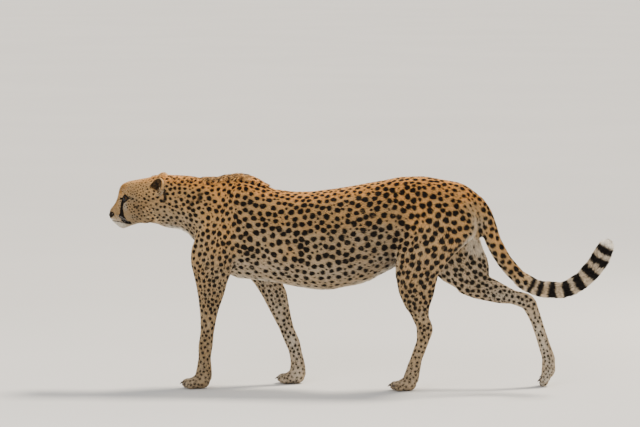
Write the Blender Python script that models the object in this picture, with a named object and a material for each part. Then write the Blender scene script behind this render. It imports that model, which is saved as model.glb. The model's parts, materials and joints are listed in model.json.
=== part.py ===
"""A walking cheetah as a still, life-size model, in metres.

The head points to -X, the tail to +X and the animal's left side to -Y; +Z is up and the paws stand on z = 0.
The body is lofted and moulded whole, melted into one surface, and then parted with thin cuts, so that each
part a person would name is a closed solid of its own. All outlines are those of the coat.
"""

import math
from typing import NamedTuple

import bmesh
import bpy
import numpy as np
from mathutils import Matrix, Vector

# Driving dimensions of the model.
RING_POINTS = 36          # points round each cross-section
RING_STEP = 0.008         # spacing of the interpolated cross-sections
VOXEL = 0.0036            # cell of the melt that joins the lofts
HEAD_TRIANGLES = 1700     # how finely the head, the paws and the rest are faceted before the parting cuts
PAW_TRIANGLES = 900
BODY_TRIANGLES = 1820
GAP = 0.0005              # width of each parting cut
HEAD_ROLL = math.radians(6.5)   # the head leans over to its left
ROLL_AXIS_Z = 0.620       # height of the axis that the head rolls about
ROLL_START, ROLL_FULL = -0.600, -0.685   # x where the roll fades in along the neck
EYE_RADIUS = 0.0165
EYE_AT = Vector((-0.7740, 0.0308, 0.6345))   # right eye, before the roll
CLAW_LENGTH, CLAW_RADIUS = 0.013, 0.0026

# Finishes: colour, roughness.
COAT = ((0.62, 0.42, 0.22), 0.85)
PALE_COAT = ((0.78, 0.70, 0.56), 0.85)
EAR_COAT = ((0.30, 0.22, 0.14), 0.85)
NOSE_LEATHER = ((0.02, 0.018, 0.017), 0.45)
EYE_GLASS = ((0.36, 0.20, 0.06), 0.08)


class Section(NamedTuple):
    """An upright cross-section of the body: where it is, its top and bottom, and how wide it is."""

    x: float
    top: float
    bottom: float
    half_width: float
    widest: float   # height of the widest place, as a share of the section


class Slice(NamedTuple):
    """A level cross-section of a leg: height, front and rear edge, and its place and half-width across."""

    z: float
    front: float
    rear: float
    y: float
    half_width: float


class Joint(NamedTuple):
    """A place on a bent limb or tail: its centre in the side view, and its half-depth and half-width."""

    x: float
    z: float
    half_depth: float
    half_width: float


BODY = {
    "nose tip": Section(-0.8440, 0.5810, 0.5690, 0.0080, 0.50),
    "nostrils": Section(-0.8370, 0.5935, 0.5575, 0.0180, 0.42),
    "whisker pads": Section(-0.8270, 0.6045, 0.5470, 0.0280, 0.38),
    "bridge": Section(-0.8165, 0.6230, 0.5380, 0.0325, 0.36),
    "brow front": Section(-0.8105, 0.6440, 0.5320, 0.0340, 0.35),
    "brow": Section(-0.8060, 0.6630, 0.5290, 0.0365, 0.36),
    "forehead": Section(-0.7960, 0.6765, 0.5260, 0.0415, 0.38),
    "eyes": Section(-0.7720, 0.6865, 0.5350, 0.0540, 0.42),
    "cheekbones": Section(-0.7450, 0.6915, 0.5440, 0.0630, 0.44),
    "crown": Section(-0.7150, 0.6970, 0.5480, 0.0685, 0.46),
    "occiput": Section(-0.6850, 0.7020, 0.5440, 0.0680, 0.48),
    "throat latch": Section(-0.6500, 0.7030, 0.5330, 0.0640, 0.50),
    "mid neck": Section(-0.6100, 0.7020, 0.5270, 0.0630, 0.50),
    "neck base": Section(-0.5700, 0.7000, 0.5080, 0.0690, 0.48),
    "breast": Section(-0.5300, 0.6940, 0.4550, 0.0780, 0.48),
    "fore chest": Section(-0.4900, 0.6930, 0.4050, 0.0870, 0.48),
    "withers front": Section(-0.4400, 0.7030, 0.3750, 0.0940, 0.50),
    "withers": Section(-0.4000, 0.7050, 0.3640, 0.0990, 0.50),
    "withers rear": Section(-0.3450, 0.6870, 0.3580, 0.1040, 0.48),
    "back dip": Section(-0.2750, 0.6600, 0.3490, 0.1120, 0.46),
    "mid back": Section(-0.2000, 0.6540, 0.3350, 0.1190, 0.42),
    "belly": Section(-0.1200, 0.6610, 0.3270, 0.1230, 0.40),
    "last rib": Section(-0.0500, 0.6710, 0.3370, 0.1190, 0.42),
    "loin": Section(0.0200, 0.6840, 0.3540, 0.1060, 0.48),
    "flank": Section(0.0850, 0.6960, 0.3880, 0.0910, 0.54),
    "hip front": Section(0.1400, 0.7065, 0.4150, 0.0850, 0.58),
    "hip": Section(0.2000, 0.7090, 0.4300, 0.0840, 0.60),
    "croup": Section(0.2700, 0.6990, 0.4500, 0.0780, 0.60),
    "rump": Section(0.3300, 0.6880, 0.4780, 0.0640, 0.60),
    "tail head": Section(0.3750, 0.6630, 0.5150, 0.0440, 0.60),
    "rump end": Section(0.4050, 0.6280, 0.5450, 0.0200, 0.60),
}

FORELEG_LEFT = (
    Slice(0.610, -0.480, -0.370, -0.058, 0.022),
    Slice(0.560, -0.515, -0.372, -0.064, 0.033),
    Slice(0.510, -0.544, -0.386, -0.069, 0.039),
    Slice(0.460, -0.558, -0.402, -0.073, 0.041),
    Slice(0.420, -0.559, -0.416, -0.076, 0.041),
    Slice(0.385, -0.550, -0.424, -0.078, 0.039),
    Slice(0.355, -0.543, -0.436, -0.079, 0.035),
    Slice(0.325, -0.538, -0.443, -0.079, 0.031),
    Slice(0.280, -0.531, -0.459, -0.078, 0.027),
    Slice(0.230, -0.528, -0.473, -0.077, 0.0235),
    Slice(0.180, -0.529, -0.482, -0.076, 0.0215),
    Slice(0.145, -0.534, -0.485, -0.075, 0.0230),
    Slice(0.105, -0.534, -0.492, -0.075, 0.0215),
    Slice(0.060, -0.541, -0.489, -0.075, 0.0260),
    Slice(0.030, -0.548, -0.490, -0.075, 0.0280),
)
FORELEG_RIGHT = (
    Slice(0.610, -0.470, -0.350, 0.058, 0.022),
    Slice(0.560, -0.500, -0.345, 0.064, 0.033),
    Slice(0.510, -0.520, -0.338, 0.069, 0.039),
    Slice(0.460, -0.512, -0.318, 0.073, 0.041),
    Slice(0.420, -0.476, -0.292, 0.076, 0.041),
    Slice(0.385, -0.424, -0.276, 0.078, 0.039),
    Slice(0.350, -0.374, -0.273, 0.079, 0.035),
    Slice(0.312, -0.347, -0.254, 0.079, 0.031),
    Slice(0.275, -0.326, -0.246, 0.078, 0.027),
    Slice(0.225, -0.300, -0.237, 0.077, 0.0235),
    Slice(0.180, -0.277, -0.224, 0.076, 0.0215),
    Slice(0.145, -0.262, -0.209, 0.075, 0.0230),
    Slice(0.105, -0.245, -0.201, 0.074, 0.0215),
    Slice(0.060, -0.240, -0.190, 0.074, 0.0260),
    Slice(0.030, -0.244, -0.188, 0.074, 0.0280),
)
HINDLEG_LEFT = (
    Slice(0.650, 0.210, 0.350, -0.048, 0.022),
    Slice(0.610, 0.185, 0.385, -0.058, 0.036),
    Slice(0.565, 0.172, 0.394, -0.066, 0.043),
    Slice(0.527, 0.156, 0.393, -0.070, 0.045),
    Slice(0.487, 0.136, 0.352, -0.073, 0.045),
    Slice(0.455, 0.125, 0.321, -0.074, 0.043),
    Slice(0.417, 0.120, 0.289, -0.075, 0.041),
    Slice(0.383, 0.123, 0.265, -0.075, 0.038),
    Slice(0.352, 0.128, 0.258, -0.075, 0.034),
    Slice(0.324, 0.135, 0.253, -0.075, 0.031),
    Slice(0.290, 0.149, 0.241, -0.075, 0.026),
    Slice(0.245, 0.177, 0.238, -0.074, 0.0215),
    Slice(0.205, 0.193, 0.250, -0.073, 0.0210),
    Slice(0.165, 0.192, 0.236, -0.072, 0.0190),
    Slice(0.110, 0.173, 0.215, -0.071, 0.0190),
    Slice(0.060, 0.155, 0.205, -0.071, 0.0240),
    Slice(0.030, 0.147, 0.200, -0.071, 0.0260),
)
THIGH_RIGHT = (
    Slice(0.650, 0.200, 0.350, 0.048, 0.022),
    Slice(0.610, 0.190, 0.380, 0.058, 0.036),
    Slice(0.565, 0.190, 0.388, 0.066, 0.043),
    Slice(0.520, 0.192, 0.392, 0.071, 0.045),
    Slice(0.475, 0.198, 0.404, 0.074, 0.044),
    Slice(0.435, 0.208, 0.420, 0.076, 0.042),
    Slice(0.400, 0.225, 0.430, 0.077, 0.038),
    Slice(0.365, 0.255, 0.425, 0.078, 0.033),
    Slice(0.340, 0.290, 0.405, 0.078, 0.026),
)
RIGHT_HIND_Y = 0.078
SHANK_RIGHT = (
    Joint(0.285, 0.416, 0.022, 0.022),
    Joint(0.310, 0.392, 0.042, 0.030),
    Joint(0.360, 0.352, 0.050, 0.033),
    Joint(0.420, 0.326, 0.042, 0.030),
    Joint(0.470, 0.309, 0.033, 0.026),
    Joint(0.515, 0.297, 0.0245, 0.022),
    Joint(0.554, 0.284, 0.027, 0.0215),
    Joint(0.580, 0.235, 0.0210, 0.0190),
    Joint(0.599, 0.180, 0.0190, 0.0185),
    Joint(0.617, 0.125, 0.0200, 0.0215),
    Joint(0.628, 0.088, 0.0225, 0.0260),
    Joint(0.628, 0.062, 0.0210, 0.0280),
)
TAIL = (
    Joint(0.330, 0.645, 0.038, 0.036),
    Joint(0.385, 0.610, 0.036, 0.033),
    Joint(0.420, 0.560, 0.0300, 0.0280),
    Joint(0.439, 0.507, 0.0270, 0.0260),
    Joint(0.462, 0.458, 0.0260, 0.0250),
    Joint(0.497, 0.408, 0.0250, 0.0245),
    Joint(0.548, 0.360, 0.0240, 0.0240),
    Joint(0.606, 0.336, 0.0240, 0.0240),
    Joint(0.665, 0.332, 0.0245, 0.0245),
    Joint(0.722, 0.355, 0.0260, 0.0260),
    Joint(0.765, 0.393, 0.0275, 0.0275),
    Joint(0.798, 0.438, 0.0285, 0.0285),
    Joint(0.816, 0.474, 0.0250, 0.0250),
    Joint(0.8260, 0.4920, 0.0170, 0.0170),
    Joint(0.8295, 0.4985, 0.0050, 0.0050),
)


class Mass(NamedTuple):
    """A muscle, pad or bone as an ellipsoid: centre, half-axes and lean in the side view, in degrees."""

    centre: tuple
    radii: tuple
    lean: float = 0.0
    turn: float = 0.0   # about the upright axis, for the left side; mirrored on the right


# Masses on both sides of the head and body, given for the left side.
PAIRED_MASSES = {
    "shoulder blade": Mass((-0.408, -0.058, 0.590), (0.056, 0.036, 0.098), 22),
    "hip bone": Mass((0.185, -0.050, 0.632), (0.062, 0.034, 0.056), -20),
    "rib spring": Mass((-0.190, -0.062, 0.480), (0.160, 0.054, 0.110), 5),
    "whisker pad": Mass((-0.8150, -0.0175, 0.5700), (0.0210, 0.0175, 0.0180), 20),
    "jowl": Mass((-0.7200, -0.0440, 0.5850), (0.0420, 0.0260, 0.0320), 0),
    "brow ridge": Mass((-0.7800, -0.0255, 0.6545), (0.0180, 0.0135, 0.0125), -10, -36),
    "ear root": Mass((-0.6750, -0.0480, 0.6680), (0.0260, 0.0170, 0.0240), 0),
}
MIDLINE_MASSES = {
    "nose end": Mass((-0.8320, 0.0, 0.5770), (0.0115, 0.0155, 0.0120), 30),
    "chin": Mass((-0.8010, 0.0, 0.5475), (0.0230, 0.0200, 0.0165), 6),
    "nape crest": Mass((-0.4050, 0.0, 0.6780), (0.0800, 0.0200, 0.0270), 2),
    "pouch": Mass((0.3820, 0.0, 0.5150), (0.0200, 0.0260, 0.0210), 0),
}


class Stroke(NamedTuple):
    """A press of the modelling thumb on the left and right of the head: where, how wide, and how far out."""

    at: tuple
    radius: float
    push: float


STROKES = {
    "eye socket": Stroke((-0.7890, -0.0345, 0.6360), 0.022, -0.0070),
    "inner corner of the eye": Stroke((-0.8050, -0.0230, 0.6350), 0.019, -0.0070),
    "tear trough": Stroke((-0.8050, -0.0300, 0.6100), 0.022, -0.0060),
    "behind the whisker pad": Stroke((-0.7860, -0.0400, 0.5720), 0.024, -0.0050),
    "whisker pad": Stroke((-0.8170, -0.0270, 0.5700), 0.018, 0.0030),
    "side of the nose": Stroke((-0.8270, -0.0180, 0.5930), 0.013, -0.0025),
    "cheekbone": Stroke((-0.7500, -0.0590, 0.6120), 0.036, 0.0045),
    "temple": Stroke((-0.7480, -0.0470, 0.6680), 0.034, -0.0050),
    "ruff": Stroke((-0.6950, -0.0650, 0.5780), 0.046, 0.0040),
    "under the ear": Stroke((-0.6850, -0.0660, 0.6350), 0.028, -0.0035),
    "corner of the mouth": Stroke((-0.7750, -0.0390, 0.5520), 0.018, -0.0030),
}


class Paw(NamedTuple):
    """A paw: the middle of its big pad, its heading and dip in degrees, its size and which toe leads."""

    x: float
    y: float
    z: float
    turn: float
    dip: float
    size: float


PAWS = {
    "forepaw_left": Paw(-0.530, -0.076, 0.022, 2, 0, 1.00),
    "forepaw_right": Paw(-0.226, 0.075, 0.022, -2, 0, 1.00),
    "hindpaw_left": Paw(0.162, -0.072, 0.021, 2, 0, 0.95),
    "hindpaw_right": Paw(0.6260, 0.078, 0.052, 0, 62, 0.95),
}
TOE_FORWARD = (0.026, 0.038, 0.038, 0.026)
TOE_ACROSS = (-0.0250, -0.0090, 0.0090, 0.0250)
TOE_RADII = (0.0230, 0.0120, 0.0165)
PAD_RADII = (0.0340, 0.0320, 0.0235)

EAR_AT = Vector((-0.6720, -0.0580, 0.6765))       # left ear, before the roll
EAR_FACING = Vector((-0.60, -0.74, 0.30))         # the way its opening looks
EAR_UP = Vector((0.12, -0.30, 0.94))
EAR_OUTER = (0.0285, 0.0170, 0.0350)              # half-width, half-depth, half-height
EAR_INNER = (0.0215, 0.0165, 0.0280)
EAR_OPENING = 0.0115                              # how far the hollow sits out of the ear


def clear_scene():
    """Removes every object, so that the model starts from nothing."""
    for item in list(bpy.data.objects):
        bpy.data.objects.remove(item)


def smooth_rows(rows, step):
    """Rows of numbers interpolated by a monotone cubic along their length in the first two columns."""
    table = np.array(rows, float)
    along = np.concatenate([[0], np.cumsum(np.linalg.norm(np.diff(table[:, :2], axis=0), axis=1))])
    spans = np.diff(along)[:, None]
    slopes = np.diff(table, axis=0) / spans
    same_way = slopes[:-1] * slopes[1:] > 0
    inner = np.where(same_way, 2 * slopes[:-1] * slopes[1:] / (slopes[:-1] + slopes[1:] + 1e-12), 0)
    ends = np.concatenate([slopes[:1], inner, slopes[-1:]])
    at = np.linspace(0, along[-1], max(4, int(along[-1] / step)))
    i = np.clip(np.searchsorted(along, at, side="right") - 1, 0, len(spans) - 1)
    h = spans[i]
    t = ((at - along[i])[:, None]) / h
    blend = 3 * t**2 - 2 * t**3
    return (
        table[i] * (1 - blend)
        + table[i + 1] * blend
        + h * (t**3 - 2 * t**2 + t) * ends[i]
        + h * (t**3 - t**2) * ends[i + 1]
    )


def ring_angles():
    """The angles of the points round a cross-section, and their cosines and sines."""
    angles = np.linspace(0, 2 * math.pi, RING_POINTS, endpoint=False)
    return np.cos(angles), np.sin(angles)


def loft(name, rings):
    """A closed mesh through rings of points, with a cone to the middle of each end ring."""
    count, size = len(rings), len(rings[0])
    points = [tuple(p) for ring in rings for p in ring]
    faces = []
    for i in range(count - 1):
        for j in range(size):
            k = (j + 1) % size
            faces.append((i * size + j, i * size + k, (i + 1) * size + k, (i + 1) * size + j))
    faces.append(tuple(reversed(range(size))))
    faces.append(tuple(range((count - 1) * size, count * size)))
    mesh = bpy.data.meshes.new(name)
    mesh.from_pydata(points, [], faces)
    return with_normals_out(linked(name, mesh))


def linked(name, mesh):
    """A new object of this mesh in the scene."""
    item = bpy.data.objects.new(name, mesh)
    bpy.context.scene.collection.objects.link(item)
    return item


def with_normals_out(item):
    """The object with its faces turned outwards."""
    work = bmesh.new()
    work.from_mesh(item.data)
    bmesh.ops.recalc_face_normals(work, faces=work.faces)
    work.to_mesh(item.data)
    work.free()
    return item


def body_loft():
    """Head, neck and trunk as one loft of upright sections, a little flatter at the sides than an ellipse."""
    across, up = ring_angles()
    wide = np.sign(across) * np.abs(across) ** 0.92
    rings = []
    for x, top, bottom, half_width, widest in smooth_rows(list(BODY.values()), RING_STEP):
        middle = bottom + widest * (top - bottom)
        reach = np.where(up > 0, top - middle, middle - bottom)
        height = middle + np.sign(up) * np.abs(up) ** 0.96 * reach
        rings.append(np.stack([np.full(RING_POINTS, x), half_width * wide, height], 1))
    return loft("body", rings)


def level_loft(name, slices):
    """A leg as a loft of level slices."""
    around, across = ring_angles()
    rows = [(s.z, (s.front + s.rear) / 2, (s.rear - s.front) / 2, s.y, s.half_width) for s in slices]
    rings = [
        np.stack([x + depth * around, y + width * across, np.full(RING_POINTS, z)], 1)
        for z, x, depth, y, width in smooth_rows(rows, RING_STEP)
    ]
    return loft(name, rings)


def bent_loft(name, joints, y):
    """A limb or tail as a loft of rings square to its own curve, which lies in an upright plane."""
    around, across = ring_angles()
    rows = smooth_rows(joints, RING_STEP)
    heading = np.gradient(rows[:, :2], axis=0)
    heading /= np.linalg.norm(heading, axis=1)[:, None]
    rings = []
    for (x, z, depth, width), (ahead_x, ahead_z) in zip(rows, heading, strict=True):
        side_x, side_z = -ahead_z * depth * around, ahead_x * depth * around
        rings.append(np.stack([x + side_x, y + width * across, z + side_z], 1))
    return loft(name, rings)


def ellipsoid(name, radii, place, segments=32, rings=20):
    """A sphere with these half-axes, put at a matrix."""
    work = bmesh.new()
    bmesh.ops.create_uvsphere(work, u_segments=segments, v_segments=rings, radius=1.0)
    bmesh.ops.scale(work, vec=radii, verts=work.verts)
    bmesh.ops.transform(work, matrix=place, verts=work.verts)
    mesh = bpy.data.meshes.new(name)
    work.to_mesh(mesh)
    work.free()
    return linked(name, mesh)


def mass(name, form, side):
    """One moulded mass; side is -1 for the left, 1 for the right and 0 on the midline."""
    x, y, z = form.centre
    place = (
        Matrix.Translation((x, abs(y) * side, z))
        @ Matrix.Rotation(math.radians(form.turn) * side, 4, "Z")
        @ Matrix.Rotation(math.radians(form.lean), 4, "Y")
    )
    return ellipsoid(name, form.radii, place)


def paw_place(paw):
    """The matrix of a paw, whose own -X is the way its toes point."""
    return (
        Matrix.Translation((paw.x, paw.y, paw.z))
        @ Matrix.Rotation(math.radians(paw.turn), 4, "Z")
        @ Matrix.Rotation(-math.radians(paw.dip), 4, "Y")
        @ Matrix.Scale(paw.size, 4)
    )


def paw_masses(name, paw):
    """The big pad and the four toes of a paw."""
    place = paw_place(paw)
    made = [ellipsoid(name + " pad", PAD_RADII, place)]
    for forward, across in zip(TOE_FORWARD, TOE_ACROSS, strict=True):
        toe = Matrix.Translation((-forward, across, -0.005))
        made.append(ellipsoid(name + " toe", TOE_RADII, place @ toe, 20, 12))
    return made


def ear_axes(side):
    """The turn of an ear: its width, the way it opens and its height as the three axes."""
    mirror = Vector((1, -side, 1))
    facing = (EAR_FACING * mirror).normalized()
    up = EAR_UP * mirror
    up = (up - facing * up.dot(facing)).normalized()
    return Matrix((facing.cross(up), facing, up)).transposed()


def ear_place(side):
    """The matrix of an ear before the head's roll."""
    return Matrix.Translation(EAR_AT * Vector((1, -side, 1))) @ ear_axes(side).to_4x4()


def ear(side):
    """An ear as a rounded cup: an ellipsoid with a smaller one taken out through its opening."""
    shell = ellipsoid("ear", EAR_OUTER, ear_place(side))
    hollow = ellipsoid("ear hollow", EAR_INNER, ear_place(side) @ Matrix.Translation((0, EAR_OPENING, 0.002)))
    return boolean(shell, hollow, "DIFFERENCE")


def evaluated(item):
    """The object with its modifiers baked into its mesh."""
    graph = bpy.context.evaluated_depsgraph_get()
    mesh = bpy.data.meshes.new_from_object(item.evaluated_get(graph), depsgraph=graph)
    item.modifiers.clear()
    item.data = mesh
    return item


def boolean(item, cutter, operation):
    """The object joined with, cut by or kept inside another, which is then removed."""
    modifier = item.modifiers.new(operation.lower(), "BOOLEAN")
    modifier.operation = operation
    modifier.solver = "EXACT"
    modifier.object = cutter
    evaluated(item)
    bpy.data.objects.remove(cutter)
    return item


def joined(items, name):
    """All these objects as one mesh, overlapping as they do."""
    work = bmesh.new()
    for item in items:
        work.from_mesh(item.data)
        bpy.data.objects.remove(item)
    mesh = bpy.data.meshes.new(name)
    work.to_mesh(mesh)
    work.free()
    return linked(name, mesh)


def melted(item):
    """The overlapping lofts and masses made one surface, with the folds between them softened."""
    melt = item.modifiers.new("melt", "REMESH")
    melt.mode = "VOXEL"
    melt.voxel_size = VOXEL
    evaluated(item)
    soften(item, "fine", lambda p: 1.0, 4)
    pressed(item)
    soften(item, "broad", broad_share, 30)
    return item


def pressed(item):
    """The head's surface pushed in and out by the strokes, along its own normals."""
    count = len(item.data.vertices)
    points = np.empty(count * 3)
    normals = np.empty(count * 3)
    item.data.vertices.foreach_get("co", points)
    item.data.vertices.foreach_get("normal", normals)
    points, normals = points.reshape(-1, 3), normals.reshape(-1, 3)
    move = np.zeros(count)
    for stroke in STROKES.values():
        for side in (-1, 1):
            at = (stroke.at[0], abs(stroke.at[1]) * side, stroke.at[2])
            near = np.linalg.norm(points - at, axis=1) / stroke.radius
            move += stroke.push * np.clip(1 - near**2, 0, 1) ** 2
    item.data.vertices.foreach_set("co", (points + normals * move[:, None]).ravel())
    item.data.update()


def broad_share(point):
    """How much a place is softened: fully on trunk and upper legs, hardly on the face, ears, paws and tail."""
    x, _, z = point
    behind_head = min(1.0, max(0.0, (x + 0.70) / 0.08))
    above_paws = min(1.0, max(0.0, (z - 0.10) / 0.12))
    before_tail = min(1.0, max(0.25, (0.52 - x) / 0.10))
    return max(0.22 if z > 0.10 else 0.0, behind_head * above_paws * before_tail)


def soften(item, name, share, turns):
    """Smooths the surface, by a share for each place."""
    group = item.vertex_groups.new(name=name)
    for vertex in item.data.vertices:
        group.add([vertex.index], share(vertex.co), "REPLACE")
    smooth = item.modifiers.new(name, "SMOOTH")
    smooth.factor = 0.5
    smooth.iterations = turns
    smooth.vertex_group = name
    evaluated(item)


def rolled(point):
    """A point of the head moved by the head's lean to its left."""
    share = min(1.0, max(0.0, (ROLL_START - point.x) / (ROLL_START - ROLL_FULL)))
    turn = HEAD_ROLL * share * share * (3 - 2 * share)
    pivot = Vector((point.x, 0, ROLL_AXIS_Z))
    return pivot + Matrix.Rotation(turn, 3, "X") @ (point - pivot)


def roll_head(item):
    """Leans the head over, with the neck turning smoothly into it."""
    for vertex in item.data.vertices:
        if vertex.co.x < ROLL_START:
            vertex.co = rolled(vertex.co)


def region(point):
    """Which of the faceting regions a point lies in."""
    if point.x < -0.62:
        return "head"
    return "paws" if point.z < 0.065 else "body"


def thinned(item):
    """The surface brought down to each region's share of triangles."""
    for name, share in (("head", HEAD_TRIANGLES), ("paws", PAW_TRIANGLES), ("body", BODY_TRIANGLES)):
        mesh = item.data
        mesh.calc_loop_triangles()
        inside = [region(v.co) == name for v in mesh.vertices]
        group = item.vertex_groups.new(name=name)
        group.add([i for i, within in enumerate(inside) if within], 1.0, "REPLACE")
        whole = len(mesh.loop_triangles)
        within = sum(inside[t.vertices[0]] for t in mesh.loop_triangles)
        thin = item.modifiers.new(name, "DECIMATE")
        thin.ratio = (whole - within + share) / whole
        thin.vertex_group = name
        evaluated(item)
        item.vertex_groups.clear()
    return item


def standing(item):
    """The body cut off level at the floor, so that the paws stand on flats."""
    floor = block("floor", [(-2, -0.5), (2, -0.5), (2, 0), (-2, 0)], -1, 1)
    return boolean(item, floor, "DIFFERENCE")


def widened(outline, by):
    """A polygon of the side view grown outwards by a distance on every edge."""
    corners = [Vector(p) for p in outline]
    area = sum(a.x * b.y - b.x * a.y for a, b in zip(corners, corners[1:] + corners[:1], strict=True))
    turn = 1 if area > 0 else -1
    grown = []
    for i, corner in enumerate(corners):
        before = (corner - corners[i - 1]).normalized()
        after = (corners[(i + 1) % len(corners)] - corner).normalized()
        out_before = Vector((before.y, -before.x)) * turn
        out_after = Vector((after.y, -after.x)) * turn
        middle = (out_before + out_after).normalized()
        grown.append(corner + middle * by / max(0.3, middle.dot(out_before)))
    return grown


def block(name, outline, y_low, y_high):
    """A straight prism: a polygon of the side view carried across from one y to another."""
    count = len(outline)
    points = [(p[0], y, p[1]) for y in (y_low, y_high) for p in outline]
    faces = [tuple(range(count)), tuple(range(count, 2 * count))]
    faces += [(i, (i + 1) % count, (i + 1) % count + count, i + count) for i in range(count)]
    mesh = bpy.data.meshes.new(name)
    mesh.from_pydata(points, [], faces)
    return with_normals_out(linked(name, mesh))


def parted(body, name, outline, y_low, y_high):
    """Cuts the part inside a prism from the body with a thin gap, and returns both."""
    part = linked(name, body.data.copy())
    boolean(part, block("inside", outline, y_low, y_high), "INTERSECT")
    cut = block("outside", widened(outline, GAP), y_low - GAP, y_high + GAP)
    boolean(body, cut, "DIFFERENCE")
    return one_body(part)


def one_body(item):
    """The object without the crumbs that a slanting cut can leave beside it."""
    work = bmesh.new()
    work.from_mesh(item.data)
    islands, left = [], set(work.verts)
    while left:
        island, edge = set(), {left.pop()}
        while edge:
            vertex = edge.pop()
            island.add(vertex)
            edge |= {e.other_vert(vertex) for e in vertex.link_edges} - island
        left -= island
        islands.append(island)
    for island in sorted(islands, key=len)[:-1]:
        bmesh.ops.delete(work, geom=list(island), context="VERTS")
    work.to_mesh(item.data)
    work.free()
    return item


# Prisms that part the body: an outline in the side view, and the y from and to.
FAR = 0.30
CUTS = {
    "tail_base": ([(0.398, 0.42), (0.520, 0.470), (0.520, 0.72), (0.398, 0.72)], -0.036, 0.036),
    "tail_middle": ([(0.398, 0.42), (0.398, 0.25), (0.606, 0.25), (0.606, 0.420), (0.520, 0.470)], -0.036, 0.036),
    "tail_rear": ([(0.606, 0.25), (0.780, 0.25), (0.720, 0.42), (0.606, 0.42)], -0.05, 0.05),
    "tail_tip": ([(0.780, 0.25), (0.95, 0.25), (0.95, 0.60), (0.70, 0.60), (0.720, 0.42)], -0.05, 0.05),
    "head": ([(-0.90, 0.45), (-0.654, 0.45), (-0.634, 0.80), (-0.90, 0.80)], -FAR, FAR),
    "neck": ([(-0.70, 0.40), (-0.598, 0.40), (-0.498, 0.75), (-0.70, 0.75)], -FAR, FAR),
    "forepaw_left": ([(-0.70, -0.1), (-0.42, -0.1), (-0.42, 0.118), (-0.70, 0.118)], -FAR, FAR),
    "forearm_left": ([(-0.70, 0.05), (-0.395, 0.05), (-0.395, 0.352), (-0.70, 0.352)], -FAR, FAR),
    "forepaw_right": ([(-0.38, -0.1), (-0.10, -0.1), (-0.10, 0.118), (-0.38, 0.118)], -FAR, FAR),
    "forearm_right": ([(-0.390, 0.05), (-0.12, 0.05), (-0.240, 0.343), (-0.390, 0.343)], 0.030, FAR),
    "upper_arm_left": (
        [(-0.62, 0.30), (-0.41, 0.30), (-0.392, 0.50), (-0.372, 0.600), (-0.48, 0.628), (-0.62, 0.55)], -FAR, -0.047
    ),
    "upper_arm_right": (
        [(-0.60, 0.30), (-0.262, 0.30), (-0.262, 0.40), (-0.315, 0.50), (-0.342, 0.60), (-0.48, 0.628), (-0.60, 0.55)],
        0.047,
        FAR,
    ),
    "hindpaw_left": ([(0.05, -0.1), (0.30, -0.1), (0.30, 0.180), (0.05, 0.180)], -FAR, FAR),
    "shank_left": ([(0.05, 0.10), (0.32, 0.10), (0.32, 0.330), (0.05, 0.345)], -FAR, FAR),
    "hindpaw_right": ([(0.540, -0.1), (0.72, -0.1), (0.72, 0.40), (0.5500, 0.340)], 0.0, FAR),
    "shank_right": (
        [(0.20, 0.20), (0.60, 0.20), (0.60, 0.42), (0.455, 0.432), (0.275, 0.335), (0.20, 0.350)], 0.0, FAR
    ),
    "thigh_left": (
        [(0.09, 0.30), (0.32, 0.30), (0.50, 0.45), (0.50, 0.60), (0.34, 0.660), (0.22, 0.645), (0.135, 0.53),
         (0.09, 0.42)],
        -FAR,
        -0.030,
    ),
    "thigh_right": (
        [(0.19, 0.30), (0.50, 0.30), (0.50, 0.60), (0.34, 0.660), (0.22, 0.645), (0.150, 0.53), (0.150, 0.42)],
        0.030,
        FAR,
    ),
}
JAW_CUT = ([(-0.86, 0.5585), (-0.86, 0.50), (-0.690, 0.50), (-0.706, 0.5640), (-0.770, 0.5560)], -FAR, FAR)
NOSE_CUT = ([(-0.90, 0.5640), (-0.8245, 0.5640), (-0.8215, 0.5900), (-0.8290, 0.60), (-0.90, 0.64)], -0.0095, 0.0215)
EAR_CUT = ((0.036, 0.030, 0.060), (0.0, 0.0125, 0.0550))   # half-sizes and centre of the box in the ear's axes


def part_ear(head, name, side):
    """Cuts an ear from the head by a box square to the ear, low down at its root."""
    turn = Matrix.Rotation(HEAD_ROLL, 4, "X")
    axis = Matrix.Translation((0, 0, ROLL_AXIS_Z))
    place = axis @ turn @ axis.inverted() @ ear_place(side)
    part = linked(name, head.data.copy())
    for item, operation, grow in ((part, "INTERSECT", 0.0), (head, "DIFFERENCE", GAP)):
        half, centre = EAR_CUT
        work = bmesh.new()
        bmesh.ops.create_cube(work, size=2.0)
        bmesh.ops.scale(work, vec=[h + grow for h in half], verts=work.verts)
        bmesh.ops.transform(work, matrix=place @ Matrix.Translation(centre), verts=work.verts)
        mesh = bpy.data.meshes.new("ear box")
        work.to_mesh(mesh)
        work.free()
        boolean(item, linked("ear box", mesh), operation)
    return one_body(part)


def eye(head, name, side):
    """An eyeball in a socket cut from the head around it."""
    centre = rolled(Vector((EYE_AT.x, EYE_AT.y * side, EYE_AT.z)))
    place = Matrix.Translation(centre)
    socket = ellipsoid("socket", (EYE_RADIUS + GAP,) * 3, place, 16, 10)
    boolean(head, socket, "DIFFERENCE")
    return ellipsoid(name, (EYE_RADIUS,) * 3, place, 16, 10)


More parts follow.
